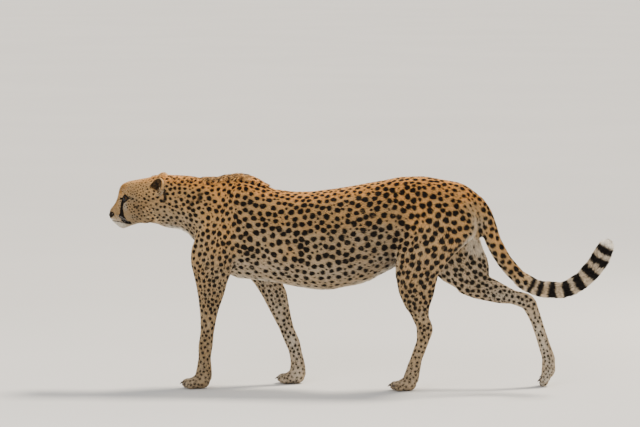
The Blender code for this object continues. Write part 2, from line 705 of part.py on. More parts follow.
def claws(paw_part, paw):
    """Four short curved claws joined to the fronts of a paw's toes; they point level however the paw dips."""
    dip = math.radians(paw.dip)
    reach = math.hypot(TOE_RADII[0] * math.cos(dip), TOE_RADII[2] * math.sin(dip)) - 0.007
    level = Matrix.Rotation(math.radians(paw.turn), 4, "Z") @ Matrix.Scale(paw.size, 4)
    for forward, across in zip(TOE_FORWARD, TOE_ACROSS, strict=True):
        toe = paw_place(paw) @ Vector((-forward, across, -0.005))
        rings = []
        for share in (0.0, 0.65, 1.0):
            radius = CLAW_RADIUS * (1.04 - share)
            centre = Vector((-reach - CLAW_LENGTH * share, 0, 0.003 - 0.007 * share**2))
            ring = [
                toe + level @ (centre + Vector((0, radius * math.cos(a), 1.4 * radius * math.sin(a))))
                for a in np.linspace(0, 2 * math.pi, 5, endpoint=False)
            ]
            rings.append(ring)
        boolean(paw_part, loft("claw", rings), "UNION")


def finished(item, finish):
    """The object shaded smooth, with its material."""
    colour, roughness = finish
    material = bpy.data.materials.new(item.name)
    material.use_nodes = True
    shader = material.node_tree.nodes["Principled BSDF"]
    shader.inputs["Base Color"].default_value = (*colour, 1)
    shader.inputs["Roughness"].default_value = roughness
    shader.inputs["Metallic"].default_value = 0.0
    item.data.materials.clear()
    item.data.materials.append(material)
    item.data.shade_smooth()
    item.data.set_sharp_from_angle(angle=math.radians(50))


def centred(items):
    """Moves everything so that the model stands in the middle of the floor."""
    corners = np.array([v.co for item in items for v in item.data.vertices])
    low, high = corners.min(0), corners.max(0)
    shift = Matrix.Translation((-(low[0] + high[0]) / 2, -(low[1] + high[1]) / 2, -low[2]))
    for item in items:
        item.data.transform(shift)


def whole_body():
    """The cheetah in one piece, standing on the floor."""
    forms = [
        body_loft(),
        level_loft("foreleg left", FORELEG_LEFT),
        level_loft("foreleg right", FORELEG_RIGHT),
        level_loft("hindleg left", HINDLEG_LEFT),
        level_loft("thigh right", THIGH_RIGHT),
        bent_loft("shank right", SHANK_RIGHT, RIGHT_HIND_Y),
        bent_loft("tail", TAIL, 0.0),
        ear(-1),
        ear(1),
    ]
    forms += [mass(name, form, side) for name, form in PAIRED_MASSES.items() for side in (-1, 1)]
    forms += [mass(name, form, 0) for name, form in MIDLINE_MASSES.items()]
    for name, paw in PAWS.items():
        forms += paw_masses(name, paw)
    body = melted(joined(forms, "trunk"))
    roll_head(body)
    return standing(thinned(body))


def main():
    """Builds the cheetah and parts it into its named solids."""
    clear_scene()
    trunk = whole_body()
    parts = {name: parted(trunk, name, *cut) for name, cut in CUTS.items()}
    head = parts["head"]
    for name, side in (("left", -1), ("right", 1)):
        parts["ear_" + name] = part_ear(head, "ear_" + name, side)
        parts["eye_" + name] = eye(head, "eye_" + name, side)
    parts["jaw"] = parted(head, "jaw", *JAW_CUT)
    parts["nose"] = parted(head, "nose", *NOSE_CUT)
    for name, paw in PAWS.items():
        claws(parts[name], paw)
    parts["trunk"] = trunk
    for name in ("trunk", "head"):
        one_body(parts[name])
    finishes = {"jaw": PALE_COAT, "nose": NOSE_LEATHER, "eye": EYE_GLASS, "ear": EAR_COAT}
    for name, part in parts.items():
        finished(part, finishes.get(name.split("_")[0], COAT))
    centred(list(parts.values()))


main()
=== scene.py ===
"""A cheetah in mid walk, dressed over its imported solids.

One sculpted skin replaces the flesh solids and a coat of fine tufts lies over it. The eyeballs, lids, nose
leather, claws and whiskers are pieces of their own. The skin and the coat take their markings from one function.
Lengths are in metres and colours are linear, unless a docstring says otherwise.
"""

import sys
import json
import logging
import math
from collections.abc import Callable
from dataclasses import dataclass, field
from enum import Enum
from functools import partial

import bmesh
import bpy
import numpy as np
from mathutils import Matrix, Vector
from mathutils.bvhtree import BVHTree

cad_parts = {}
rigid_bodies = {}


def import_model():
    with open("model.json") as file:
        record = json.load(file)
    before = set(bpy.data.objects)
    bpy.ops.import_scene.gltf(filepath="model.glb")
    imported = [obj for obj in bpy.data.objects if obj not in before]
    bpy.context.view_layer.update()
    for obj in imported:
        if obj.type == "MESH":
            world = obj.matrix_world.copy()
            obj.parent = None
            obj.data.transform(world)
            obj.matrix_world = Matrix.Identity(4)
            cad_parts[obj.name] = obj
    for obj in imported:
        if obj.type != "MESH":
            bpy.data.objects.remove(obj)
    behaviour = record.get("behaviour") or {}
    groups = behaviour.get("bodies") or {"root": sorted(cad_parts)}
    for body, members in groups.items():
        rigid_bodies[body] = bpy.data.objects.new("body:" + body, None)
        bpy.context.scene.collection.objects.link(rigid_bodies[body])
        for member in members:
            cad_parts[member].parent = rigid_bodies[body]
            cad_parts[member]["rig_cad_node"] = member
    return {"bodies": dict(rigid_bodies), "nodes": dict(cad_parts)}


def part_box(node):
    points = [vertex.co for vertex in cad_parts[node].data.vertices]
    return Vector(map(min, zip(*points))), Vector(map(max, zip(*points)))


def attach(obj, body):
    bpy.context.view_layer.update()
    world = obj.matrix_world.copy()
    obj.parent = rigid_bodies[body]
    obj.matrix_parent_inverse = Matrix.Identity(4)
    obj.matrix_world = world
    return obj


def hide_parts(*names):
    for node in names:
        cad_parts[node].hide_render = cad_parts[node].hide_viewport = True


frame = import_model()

for startup in [o for o in bpy.data.objects if "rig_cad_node" not in o and o not in frame["bodies"].values()]:
    bpy.data.objects.remove(startup)
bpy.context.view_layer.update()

logging.basicConfig(level=logging.INFO, format="%(relativeCreated)6d ms  %(message)s", stream=sys.stdout)
LOG = logging.getLogger("cheetah")
Array = np.ndarray
Rng = np.random.Generator
Item = bpy.types.Object
Material = bpy.types.Material
Socket = bpy.types.NodeSocket
Pair = tuple[float, float]
Point = tuple[float, float, float]
BODY = "root"
MM = 0.001
TURN = 2 * math.pi
BOTH_SIDES = (-1, 1)
FLOOR_GAP = 0.0004


class Side(Enum):
    """A side of the animal, as the sign of its Y."""

    LEFT = -1
    RIGHT = 1


class Slot(Enum):
    """The record's finishes, one named for each piece."""

    COAT = "coat"
    NOSE = "nose_leather"
    EYE = "eye"
    CLAW = "claw"
    WHISKER = "whisker"


def ease(values: Array) -> Array:
    """A smooth step from 0 to 1; positions outside are clipped."""
    t = np.clip(values, 0, 1)
    return t * t * (3 - 2 * t)


def fall(distance: Array, reach: float | Array) -> Array:
    """A soft brush's strength at distances from its middle: 1 there, and 0 from its reach outwards."""
    return np.clip(1 - (distance / reach) ** 2, 0, 1) ** 2


def far(vectors: Array) -> Array:
    """The length of each vector."""
    return np.linalg.norm(vectors, axis=1)


def unit(vectors: Array) -> Array:
    """Vectors brought to length 1."""
    return vectors / np.maximum(np.linalg.norm(vectors, axis=-1, keepdims=True), 1e-9)


def folded(points: Array) -> Array:
    """Places of both sides laid over each other, with Y above 0."""
    return points * (1, 0, 1) + np.abs(points) * (0, 1, 0)


def wave(points: Array, size: float, seed: int) -> Array:
    """A smooth irregular field.

    Args:
        points: where it is read.
        size: how far apart its hills are.
        seed: which field it is.

    Returns:
        Values of about -1 to 1.
    """
    rng = np.random.default_rng(seed)
    total = np.zeros(len(points))
    for _ in range(6):
        way = rng.normal(size=3)
        way *= TURN / size * rng.uniform(0.6, 1.3) / np.linalg.norm(way)
        total += np.sin(points @ way + rng.uniform(0, TURN))
    return total / 3


def stations(line: Array) -> Array:
    """How far along a bent line its corners lie."""
    return np.concatenate([[0], np.cumsum(far(np.diff(line, axis=0)))])


def to_line(points: Array, line: Array) -> tuple[Array, Array]:
    """How far points are from a bent line.

    Args:
        points: the points.
        line: the line's corners in order.

    Returns:
        The distance of each point, and its place along the line as a share of its length.
    """
    spans, starts = np.diff(line, axis=0), stations(line)
    best, along = np.full(len(points), 1e9), np.zeros(len(points))
    for i, (span, length) in enumerate(zip(spans, far(spans), strict=True)):
        t = np.clip((points - line[i]) @ span / max(length**2, 1e-12), 0, 1)
        distance = far(points - line[i] - t[:, None] * span)
        nearer = distance < best
        best = np.where(nearer, distance, best)
        along = np.where(nearer, starts[i] + t * length, along)
    return best, along / starts[-1]


def alone(item: Item) -> None:
    """Makes one object the only selected and the active one.

    Args:
        item: the object.
    """
    bpy.ops.object.select_all(action="DESELECT")
    item.select_set(True)
    bpy.context.view_layer.objects.active = item


def applied(item: Item, kind: str, **settings: object) -> None:
    """Adds a modifier to an object and applies it.

    Args:
        item: the object.
        kind: the modifier's type.
        settings: its settings by name.
    """
    alone(item)
    modifier = item.modifiers.new(kind, kind)
    for name, value in settings.items():
        setattr(modifier, name, value)
    bpy.ops.object.modifier_apply(modifier=modifier.name)


def edited(item: Item, *steps: Callable[[], object]) -> None:
    """Runs steps in edit mode, each with the whole mesh selected.

    Args:
        item: the object.
        steps: what is done, in order.
    """
    alone(item)
    bpy.ops.object.mode_set(mode="EDIT")
    for step in steps:
        bpy.ops.mesh.select_all(action="SELECT")
        step()
    bpy.ops.object.mode_set(mode="OBJECT")


def face_outward(item: Item) -> None:
    """Turns a closed mesh's faces outward."""
    edited(item, lambda: bpy.ops.mesh.normals_make_consistent(inside=False))


def primitive(add: Callable[..., object], name: str, **sizes: object) -> Item:
    """A primitive to model from, deselected.

    Args:
        add: the operator that makes it.
        name: its name.
        sizes: the operator's settings.

    Returns:
        The object.
    """
    bpy.ops.object.select_all(action="DESELECT")
    add(**sizes)
    item = bpy.context.view_layer.objects.active
    item.name = item.data.name = name
    bpy.ops.object.select_all(action="DESELECT")
    return item


def read(rows: bpy.types.bpy_prop_collection, key: str, width: int = 3, kind: type = float) -> Array:
    """Reads the same property of all vertices, edges or faces.

    Args:
        rows: the mesh's collection.
        key: the property.
        width: how many numbers each has.
        kind: their type.

    Returns:
        One row for each.
    """
    out = np.empty(len(rows) * width, kind)
    rows.foreach_get(key, out)
    return out.reshape(-1, width)


def coordinates(item: Item) -> Array:
    """The places of an object's vertices."""
    return read(item.data.vertices, "co")


def normals_of(item: Item) -> Array:
    """The normals of an object's vertices."""
    return read(item.data.vertices, "normal")


def triangles(item: Item) -> Array:
    """The corners of an object's faces, cut into triangles."""
    item.data.calc_loop_triangles()
    return read(item.data.loop_triangles, "vertices", 3, np.int32)


def flat(values: Array, kind: type = np.float32) -> Array:
    """Numbers in one row, as a mesh takes them."""
    return np.ascontiguousarray(values, kind).ravel()


def put(item: Item, points: Array) -> None:
    """Moves an object's vertices to new places."""
    item.data.vertices.foreach_set("co", flat(points))
    item.data.update()


def mesh_object(name: str, points: Array, faces: Array) -> Item:
    """An object from arrays.

    Args:
        name: the object's name.
        points: vertex places.
        faces: triangles.

    Returns:
        The linked object.
    """
    mesh = bpy.data.meshes.new(name)
    mesh.vertices.add(len(points))
    mesh.vertices.foreach_set("co", flat(points))
    mesh.loops.add(faces.size)
    mesh.loops.foreach_set("vertex_index", flat(faces, np.int32))
    mesh.polygons.add(len(faces))
    mesh.polygons.foreach_set("loop_start", np.arange(0, faces.size, 3, dtype=np.int32))
    mesh.update(calc_edges=True)
    item = bpy.data.objects.new(name, mesh)
    bpy.context.scene.collection.objects.link(item)
    return item


def mark(item: Item, name: str, values: Array) -> None:
    """Stores numbers on an object's vertices.

    Args:
        item: the object.
        name: the attribute's name.
        values: one number, or three, for each vertex.
    """
    kind, key = ("FLOAT", "value") if values.ndim == 1 else ("FLOAT_VECTOR", "vector")
    item.data.attributes.new(name, kind, "POINT").data.foreach_set(key, flat(values))


def settled(item: Item, material: Material, slot: Slot, *nodes: str) -> None:
    """Gives a finished piece its material and its body, and hides the solids that it stands for.

    Args:
        item: the piece.
        material: its material.
        slot: the record's finish for it; not used.
        nodes: the solids that it replaces.
    """
    item.data.shade_smooth()
    item.data.materials.clear()
    item.data.materials.append(material)
    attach(item, BODY)
    if nodes:
        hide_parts(*nodes)
    LOG.info("%s: %d faces", item.name, len(item.data.polygons))


def box_middle(node: str) -> Array:
    """The middle of a solid's box."""
    low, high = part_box(node)
    return (np.array(low) + np.array(high)) / 2


@dataclass(frozen=True)
class HeadPose:
    """The head's lean to its left, about an axis along X, and its right eyeball while it is upright."""

    angle: float = math.radians(6.5)
    axis_z: float = 0.620
    start_x: float = -0.600
    full_x: float = -0.685
    eye: Point = (-0.7740, 0.0308, 0.6345)
    eye_radius: float = 0.0165

    def shift(self) -> Array:
        """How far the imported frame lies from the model's own numbers."""
        return box_middle("eye_right") - self.turned(np.array([self.eye]), 1)[0]

    def turned(self, points: Array, way: int) -> Array:
        """Points leaned with the head, or set level again.

        Args:
            points: places in the model's own numbers.
            way: 1 to lean, -1 to set level.

        Returns:
            The moved points.
        """
        turn = way * self.angle * ease((self.start_x - points[:, 0]) / (self.start_x - self.full_x))
        c, s = np.cos(turn), np.sin(turn)
        y, z = points[:, 1], points[:, 2] - self.axis_z
        return np.stack([points[:, 0], y * c - z * s, y * s + z * c + self.axis_z], 1)

    def level(self, points: Array) -> Array:
        """Frame places as places on the upright head."""
        return self.turned(points - SHIFT, -1)

    def lean(self, points: Array) -> Array:
        """Places on the upright head as frame places."""
        return self.turned(points, 1) + SHIFT


HEAD = HeadPose()
SHIFT = HEAD.shift()


@dataclass(frozen=True)
class Strand:
    """A line over the animal that the coat follows, with what the coat is like at its start and its end.

    All lengths are in millimetres; tone runs from 0, white, through 0.5, buff, to 1, orange gold.
    """

    points: tuple[tuple[int, int, int], ...]
    reach: int
    length: Pair
    spot: Pair
    spacing: Pair
    tone: Pair
    mirrored: bool = False
    sag: float = 0.0

    def line(self) -> Array:
        """Its corners, in metres."""
        return np.array(self.points) / 1000

    def rows(self, sign: int) -> list[list[float]]:
        """Its guide points.

        Args:
            sign: -1 for those of a mirrored strand.

        Returns:
            For each point its place, reach, lie, fur length, spot radius, spot spacing and tone.
        """
        line = self.line() * (1, sign, 1)
        lies = unit(np.gradient(line, axis=0))
        lies[:, 2] -= self.sag
        ends = (self.length, self.spot, self.spacing, self.tone)
        return [
            [*at, self.reach / 1000, *lie, *(a + (b - a) * share for a, b in ends)]
            for at, lie, share in zip(line, unit(lies), np.linspace(0, 1, len(line)), strict=True)
        ]


THIGH = 48, (8.5, 8)
SHANK = 36, (7.5, 4.5), (4.6, 2.4), (16, 12), (0.48, 0.44)
FORELEG = 42, (8, 4.5), (5.4, 2.6), (17, 12), (0.52, 0.46)
TOES = (4.0, 3.0), (1.8, 1.2), (11, 9), (0.42, 0.36)
# The tones run gold along the back and buff down the sides. They are partly the coat's own colour, partly painted
# sunlight on top and partly painted shade on the sides.
STRANDS: dict[str, Strand] = {
    "nose bridge": Strand(
        ((-840, 0, 590), (-822, 0, 615), (-808, 0, 650), (-790, 0, 676)),
        16, (2.4, 4.0), (0.0, 1.1), (9, 8), (0.62, 0.78)),
    "crown": Strand(
        ((-775, 0, 684), (-740, 0, 692), (-705, 0, 699), (-670, 0, 703)),
        26, (4.5, 8.5), (1.3, 2.4), (8, 11), (0.80, 0.86)),
    "temple": Strand(
        ((-788, -30, 655), (-760, -46, 662), (-725, -56, 660), (-690, -62, 655)),
        20, (3.2, 6.5), (1.3, 2.3), (7.8, 9.8), (0.68, 0.74), True),
    "cheek": Strand(
        ((-792, -34, 605), (-765, -50, 607), (-735, -60, 608), (-700, -66, 606)),
        18, (3.4, 8.0), (1.7, 2.9), (8.2, 10.2), (0.52, 0.64), True, 0.2),
    "whisker pad": Strand(
        ((-836, -12, 575), (-822, -26, 572), (-800, -34, 570), (-775, -42, 572)),
        16, (2.2, 4.5), (0.7, 1.6), (6, 9), (0.46, 0.48), True, 0.25),
    "chin": Strand(
        ((-830, 0, 548), (-800, 0, 535), (-760, 0, 538), (-710, 0, 546), (-670, 0, 542)),
        24, (3.5, 11.0), (0.0, 2.2), (14, 15), (0.05, 0.36), False, 0.2),
    "ruff": Strand(
        ((-760, -46, 572), (-725, -60, 578), (-690, -67, 580), (-655, -64, 575)),
        22, (6.0, 12.0), (2.4, 3.3), (9.6, 12), (0.44, 0.54), True, 0.35),
    "ear": Strand(
        ((-675, -50, 660), (-672, -58, 685), (-668, -64, 712)),
        20, (4.5, 4.0), (0.0, 0.0), (12, 12), (0.62, 0.60), True),
    "back of neck": Strand(
        ((-670, 0, 704), (-610, 0, 703), (-550, 0, 699), (-490, 0, 694), (-440, 0, 703)),
        40, (10, 15), (3.6, 5.6), (12.5, 18), (0.92, 1.0)),
    "back": Strand(
        ((-420, 0, 706), (-340, 0, 687), (-260, 0, 658), (-180, 0, 655), (-80, 0, 667), (20, 0, 685),
         (120, 0, 703), (220, 0, 707), (300, 0, 694), (360, 0, 668)),
        55, (10, 9), (6.0, 6.6), (19, 20), (0.95, 0.98)),
    "side of neck": Strand(
        ((-665, -64, 640), (-610, -64, 632), (-550, -72, 625), (-490, -84, 610)),
        40, (7, 8.5), (4.0, 6.4), (14, 20), (0.66, 0.72), True, 0.15),
    "low neck": Strand(
        ((-665, -58, 575), (-610, -60, 562), (-560, -66, 530), (-520, -74, 480)),
        36, (8, 10), (4.0, 5.8), (14.5, 20), (0.52, 0.50), True, 0.2),
    "throat": Strand(
        ((-660, 0, 537), (-610, 0, 526), (-570, 0, 505), (-540, 0, 465), (-510, 0, 415)),
        38, (12, 15), (3.0, 3.8), (16, 22), (0.26, 0.20)),
    "shoulder": Strand(
        ((-430, -80, 665), (-445, -98, 610), (-455, -106, 550), (-465, -108, 480)),
        50, (9, 8), (6.0, 6.2), (19.5, 19.5), (0.84, 0.62), True),
    # The ribs, low side and belly are partly the coat's own paler sides and underside, and partly painted shade: their
    # tones are set lower and greyer for the side away from the light.
    "upper ribs": Strand(
        ((-380, -100, 610), (-280, -110, 595), (-180, -117, 590), (-80, -118, 595), (20, -106, 600),
         (110, -92, 610)),
        50, (8, 8.5), (7.4, 7.6), (22.5, 22.5), (0.66, 0.70), True, 0.12),
    "lower ribs": Strand(
        ((-370, -104, 500), (-280, -112, 485), (-180, -118, 470), (-80, -117, 470), (20, -100, 480),
         (90, -88, 500)),
        50, (8, 8.5), (7.8, 7.8), (23.5, 24), (0.50, 0.48), True, 0.2),
    "low side": Strand(
        ((-380, -80, 405), (-280, -88, 395), (-180, -94, 385), (-80, -90, 385), (20, -78, 400), (80, -70, 425)),
        42, (9, 11), (6.8, 6.4), (24, 26), (0.40, 0.36), True, 0.2),
    "belly": Strand(
        ((-480, 0, 390), (-400, 0, 364), (-300, 0, 352), (-200, 0, 336), (-110, 0, 328), (-20, 0, 342),
         (60, 0, 375), (120, 0, 410)),
        42, (14, 17), (3.8, 4.2), (28, 31), (0.20, 0.18)),
    "hip": Strand(
        ((130, -85, 640), (190, -88, 625), (260, -90, 590), (320, -88, 550)),
        50, (9, 9), (7.9, 7.9), (17.5, 17.5), (0.86, 0.70), True, 0.3),
    "rump end": Strand(
        ((330, -50, 660), (380, -45, 610), (395, -55, 560), (385, -70, 500)),
        36, (11, 15), (5.8, 2.8), (22, 26), (0.80, 0.16), True),
    "left foreleg": Strand(
        ((-475, -95, 440), (-488, -85, 385), (-492, -79, 320), (-500, -77, 230), (-510, -75, 150),
         (-514, -75, 80), (-522, -75, 45)), *FORELEG),
    "right foreleg": Strand(
        ((-420, 95, 470), (-360, 85, 395), (-305, 79, 320), (-268, 77, 230), (-236, 75, 150),
         (-216, 74, 80), (-222, 74, 45)), *FORELEG),
    "left thigh": Strand(
        ((270, -108, 560), (255, -112, 500), (215, -108, 430), (190, -100, 370), (185, -90, 315)),
        *THIGH, (8.3, 6.0), (17, 16), (0.60, 0.52)),
    "left hind shank": Strand(
        ((190, -80, 290), (212, -75, 240), (220, -73, 200), (196, -71, 120), (180, -71, 70), (172, -71, 45)),
        *SHANK),
    "right thigh": Strand(
        ((275, 108, 560), (290, 112, 500), (310, 108, 430), (345, 100, 370), (400, 95, 332)),
        *THIGH, (8.3, 5.8), (17, 16), (0.60, 0.52)),
    "right hind shank": Strand(
        ((440, 80, 320), (515, 78, 297), (560, 78, 275), (582, 78, 235), (600, 78, 180), (617, 78, 125),
         (630, 78, 85)), *SHANK),
    "left fore toes": Strand(((-505, -76, 40), (-540, -76, 34), (-580, -76, 14)), 30, *TOES),
    "right fore toes": Strand(((-205, 75, 40), (-238, 75, 34), (-276, 75, 14)), 30, *TOES),
    "left hind toes": Strand(((185, -72, 40), (152, -72, 34), (116, -72, 14)), 30, *TOES),
    "right hind toes": Strand(((645, 78, 80), (625, 78, 55), (600, 78, 20)), 26, *TOES),
    "tail": Strand(
        ((365, 0, 645), (405, 0, 590), (430, 0, 535), (450, 0, 480), (480, 0, 432), (522, 0, 382),
         (577, 0, 346), (636, 0, 332), (694, 0, 342), (744, 0, 373), (782, 0, 415), (808, 0, 458),
         (826, 0, 495)),
        30, (10, 15), (7.2, 7.8), (17.5, 18), (0.78, 0.52)),
}


class CoatGuides:
    """Blends the strands over the animal, so that every place has a lie, a length and a colour."""

    def __init__(self) -> None:
        """Lays the strands out as single guide points."""
        signs = {True: (1, -1), False: (1,)}
        self.table = np.array([row for s in STRANDS.values() for sign in signs[s.mirrored] for row in s.rows(sign)])
        self.table[:, :3] += SHIFT

    def blend(self, points: Array, batch: int = 60000) -> tuple[Array, Array]:
        """Reads the guides.

        Args:
            points: frame places.
            batch: how many are read at a time.

        Returns:
            The lie at each point, and its fur length, spot radius, spacing and tone.
        """
        out = np.empty((len(points), 7))
        for start in range(0, len(points), batch):
            part = points[start : start + batch]
            square = ((part[:, None, :] - self.table[None, :, :3]) ** 2).sum(2)
            weight = (1 + square / self.table[:, 3] ** 2) ** -5
            out[start : start + batch] = weight @ self.table[:, 4:] / weight.sum(1, keepdims=True)
        return unit(out[:, :3]), out[:, 3:]


@dataclass(frozen=True)
class EyeOpening:
    """An almond opening over an eyeball: which way it looks, and its half-angles in degrees."""

    side: Side
    gaze: Point = (-0.68, 0.73, 0.04)
    half_width: float = 48.0
    upper: float = 31.0
    lower: float = 25.0
    tilt: float = 0.16

    def axes(self) -> tuple[Array, Array, Array, Array]:
        """Finds the eye's own axes.

        Returns:
            Its centre on the upright head, and its ahead, outward and up directions.
        """
        sign = self.side.value
        mirror = np.array([1, sign, 1])
        ahead = unit(np.array(self.gaze) * mirror)
        outward = unit(np.cross(ahead, [0, 0, 1]) * sign)
        return np.array(HEAD.eye) * mirror, ahead, outward, np.cross(outward, ahead) * sign

    def angles(self, points: Array) -> tuple[Array, Array, Array]:
        """Where points lie as seen from the eyeball's centre.

        Args:
            points: places on the upright head.

        Returns:
            Their distance, and their angles outward and upward in degrees.
        """
        centre, ahead, outward, up = self.axes()
        away = points - centre
        across, height = (np.degrees(np.arctan2(away @ way, away @ ahead)) for way in (outward, up))
        return far(away), across, height

    def past_edge(self, across: Array, height: Array) -> Array:
        """How many degrees directions lie outside the opening; inside it the number is below 0.

        Args:
            across: angles outward.
            height: angles upward.

        Returns:
            The angles past the lids' edge.
        """
        height = height - self.tilt * across
        bow = 1 - (across / self.half_width) ** 2
        lid = np.where(height > 0, self.upper, self.lower)
        over = np.abs(height) - lid * np.clip(bow, 0, 1)
        return np.where(bow > 0, over, np.hypot(np.abs(height), np.abs(across) - self.half_width))

    def rim(self, count: int) -> Array:
        """Directions round the opening's edge.

        Args:
            count: how many.

        Returns:
            Unit directions on the upright head.
        """
        _, ahead, outward, up = self.axes()
        turn = np.linspace(0, TURN, count, endpoint=False)
        across = self.half_width * np.cos(turn)
        lid = np.where(np.sin(turn) >= 0, self.upper, -self.lower)
        height = lid * (1 - (across / self.half_width) ** 2) + self.tilt * across
        a, b = np.radians(across)[:, None], np.radians(height)[:, None]
        return unit(ahead + np.tan(a) * outward + np.tan(b) * up)


OPENINGS = (EyeOpening(Side.LEFT), EyeOpening(Side.RIGHT))


@dataclass(frozen=True)
class Stroke:
    """A press of the modelling thumb on both sides of the head: where, how wide, and how far out."""

    at: Point
    reach: float
    push: float


@dataclass(frozen=True)
class Line:
    """A line on both sides of the face, seen from the side: its corners, half-width and strength."""

    corners: tuple[Pair, ...]
    half_width: float
    strength: float = 1.0


@dataclass
class Skin:
    """The one surface that stands for all the flesh solids."""

    voxel: float = 0.0025
    weld: float = 1e-5
    swell: float = 0.0006
    smoothing: int = 46
    refill: int = 60
    head_x: float = -0.635
    lifted_x: float = 0.55
    body_share: float = 0.124
    face_x: float = -0.754
    coat_share: float = 0.20
    nose_sink: float = 0.0045
    lid_thickness: float = 0.0011
    lid_crease: float = 0.0006
    lid_swell: Pair = (0.0012, 0.0005)
    socket_depth: float = 0.0030
    under_spots: float = 0.0034
    toe_depth: float = 0.0036
    toe_gap: float = 0.0060
    stump_reach: float = 0.0046
    stump_share: float = 0.25
    strokes: tuple[Stroke, ...] = (
        Stroke((-0.790, 0.030, 0.654), 0.014, 0.0016), Stroke((-0.800, 0.020, 0.640), 0.010, -0.0016),
        Stroke((-0.748, 0.058, 0.620), 0.026, 0.0014), Stroke((-0.792, 0.036, 0.606), 0.013, -0.0010),
        Stroke((-0.816, 0.027, 0.570), 0.015, 0.0022), Stroke((-0.831, 0.025, 0.578), 0.018, -0.0095),
        Stroke((-0.843, 0.000, 0.575), 0.015, -0.0045), Stroke((-0.826, 0.016, 0.598), 0.012, -0.0020),
    )
    grooves: tuple[Line, ...] = (
        Line(((-0.840, 0.5570), (-0.826, 0.5560), (-0.806, 0.5540), (-0.786, 0.5525), (-0.770, 0.5555)),
             0.0046, 0.0034),
        Line(((-0.788, 0.6300), (-0.794, 0.6150), (-0.795, 0.5980)), 0.0060, 0.0010),
    )
    item: Item = field(init=False)
    tree: BVHTree = field(init=False)

    def melt(self) -> None:
        """Joins swollen copies of all the solids into one closed surface."""
        copies = []
        for node in frame["nodes"].values():
            copy = node.copy()
            copy.data = node.data.copy()
            copy.parent = None
            for key in list(copy.keys()):
                del copy[key]
            bpy.context.scene.collection.objects.link(copy)
            merged = bmesh.new()
            merged.from_mesh(copy.data)
            bmesh.ops.remove_doubles(merged, verts=merged.verts, dist=self.weld)
            bmesh.ops.recalc_face_normals(merged, faces=merged.faces)
            merged.to_mesh(copy.data)
            merged.free()
            put(copy, coordinates(copy) + normals_of(copy) * self.swell)
            copies.append(copy)
        alone(copies[0])
        for copy in copies:
            copy.select_set(True)
        bpy.ops.object.join()
        self.item = copies[0]
        self.item.name = self.item.data.name = "skin"
        applied(self.item, "REMESH", mode="VOXEL", voxel_size=self.voxel, use_smooth_shade=True)

    def relax(self, values: Array, weight: Array, rounds: int) -> Array:
        """Averages values over neighbouring vertices.

        Args:
            values: three numbers for each vertex.
            weight: how strongly each vertex takes part.
            rounds: how many times.

        Returns:
            The averaged values.
        """
        ends = read(self.item.data.edges, "vertices", 2, np.int32)
        a, b = ends.T
        size = len(values)
        full = 0.6 * weight[:, None]
        share = (0.6 * weight / np.maximum(np.bincount(ends.ravel(), minlength=size), 1))[:, None]
        for _ in range(rounds):
            sums = [np.bincount(a, v[b], size) + np.bincount(b, v[a], size) for v in values.T]
            values = values + np.stack(sums, 1) * share - values * full
        return values

    def smoothed(self, points: Array, weight: Array, rounds: int, refill: int) -> Array:
        """Smooths places, and gives back the bulk that the smoothing took.

        Args:
            points: the places.
            weight: how strongly each takes part.
            rounds: how often they are averaged.
            refill: how often what was lost is averaged before it is given back.

        Returns:
            The smoothed places.
        """
        after = self.relax(points, weight, rounds)
        return after + self.relax(points - after, np.ones(len(after)), refill) * weight[:, None]

    def round_off(self) -> None:
        """Takes the solids' facets off, gently on the head and the paws."""
        points = coordinates(self.item)
        own = points - SHIFT
        paw_height = np.where(own[:, 0] > self.lifted_x, 0.11, 0.075)
        gentle = np.maximum(ease((-0.625 - own[:, 0]) / 0.05), ease((paw_height - own[:, 2]) / 0.02))
        points = self.smoothed(points, 1 - 0.995 * gentle, self.smoothing, self.refill)
        put(self.item, self.smoothed(points, gentle, 10, 14))

    def centres(self) -> Array:
        """The middles of the faces, in the model's own numbers."""
        return read(self.item.data.polygons, "center") - SHIFT

    def on_faces(self, wanted: Array, step: Callable[[], object]) -> None:
        """Runs a step in edit mode on some of the faces.

        Args:
            wanted: yes or no for each face.
            step: what is done.
        """
        alone(self.item)
        bpy.ops.object.mode_set(mode="EDIT")
        bpy.ops.mesh.select_mode(type="FACE")
        bpy.ops.mesh.select_all(action="DESELECT")
        bpy.ops.object.mode_set(mode="OBJECT")
        self.item.data.polygons.foreach_set("select", wanted)
        bpy.ops.object.mode_set(mode="EDIT")
        step()
        bpy.ops.object.mode_set(mode="OBJECT")

    def refine(self) -> None:
        """Thins the faces on the body and doubles those on the face."""
        at = self.centres()
        body = (at[:, 0] > self.head_x) & (at[:, 2] > np.where(at[:, 0] > self.lifted_x, 0.095, 0.050))
        self.on_faces(body, lambda: bpy.ops.mesh.decimate(ratio=self.body_share))
        face = self.centres()[:, 0] < self.face_x
        self.on_faces(face, lambda: bpy.ops.mesh.subdivide(number_cuts=1, smoothness=0))
        applied(self.item, "TRIANGULATE")

    def on_side(self, x: float, z: float, sign: int) -> Array:
        """The place on the upright head's surface beside a point of its side view.

        Args:
            x: the point's X.
            z: the point's Z.
            sign: -1 for the left side, 1 for the right.

        Returns:
            The place on the upright head.
        """
        ends = HEAD.lean(np.array([(x, 0.2 * sign, z), (x, 0, z)]))
        hit = self.tree.ray_cast(Vector(ends[0]), Vector(ends[1] - ends[0]).normalized(), 0.25)[0]
        return HEAD.level((ends[1] if hit is None else np.array(hit))[None])[0]

    def side_line(self, corners: tuple[Pair, ...], sign: int, step: float = 0.003) -> Array:
        """A line given in side view, laid on the upright head's surface.

        Args:
            corners: its corners as X and Z.
            sign: -1 for the left side, 1 for the right.
            step: how far apart its points are.

        Returns:
            Its points.
        """
        line = np.array(corners, float)
        along = stations(line)
        at = np.linspace(0, along[-1], max(2, int(along[-1] / step)))
        return np.array([self.on_side(*(np.interp(a, along, v) for v in line.T), sign) for a in at])

    def grow_tree(self) -> None:
        """Makes the surface ready to be searched."""
        corners = [Vector(p) for p in coordinates(self.item)]
        self.tree = BVHTree.FromPolygons(corners, triangles(self.item).tolist())

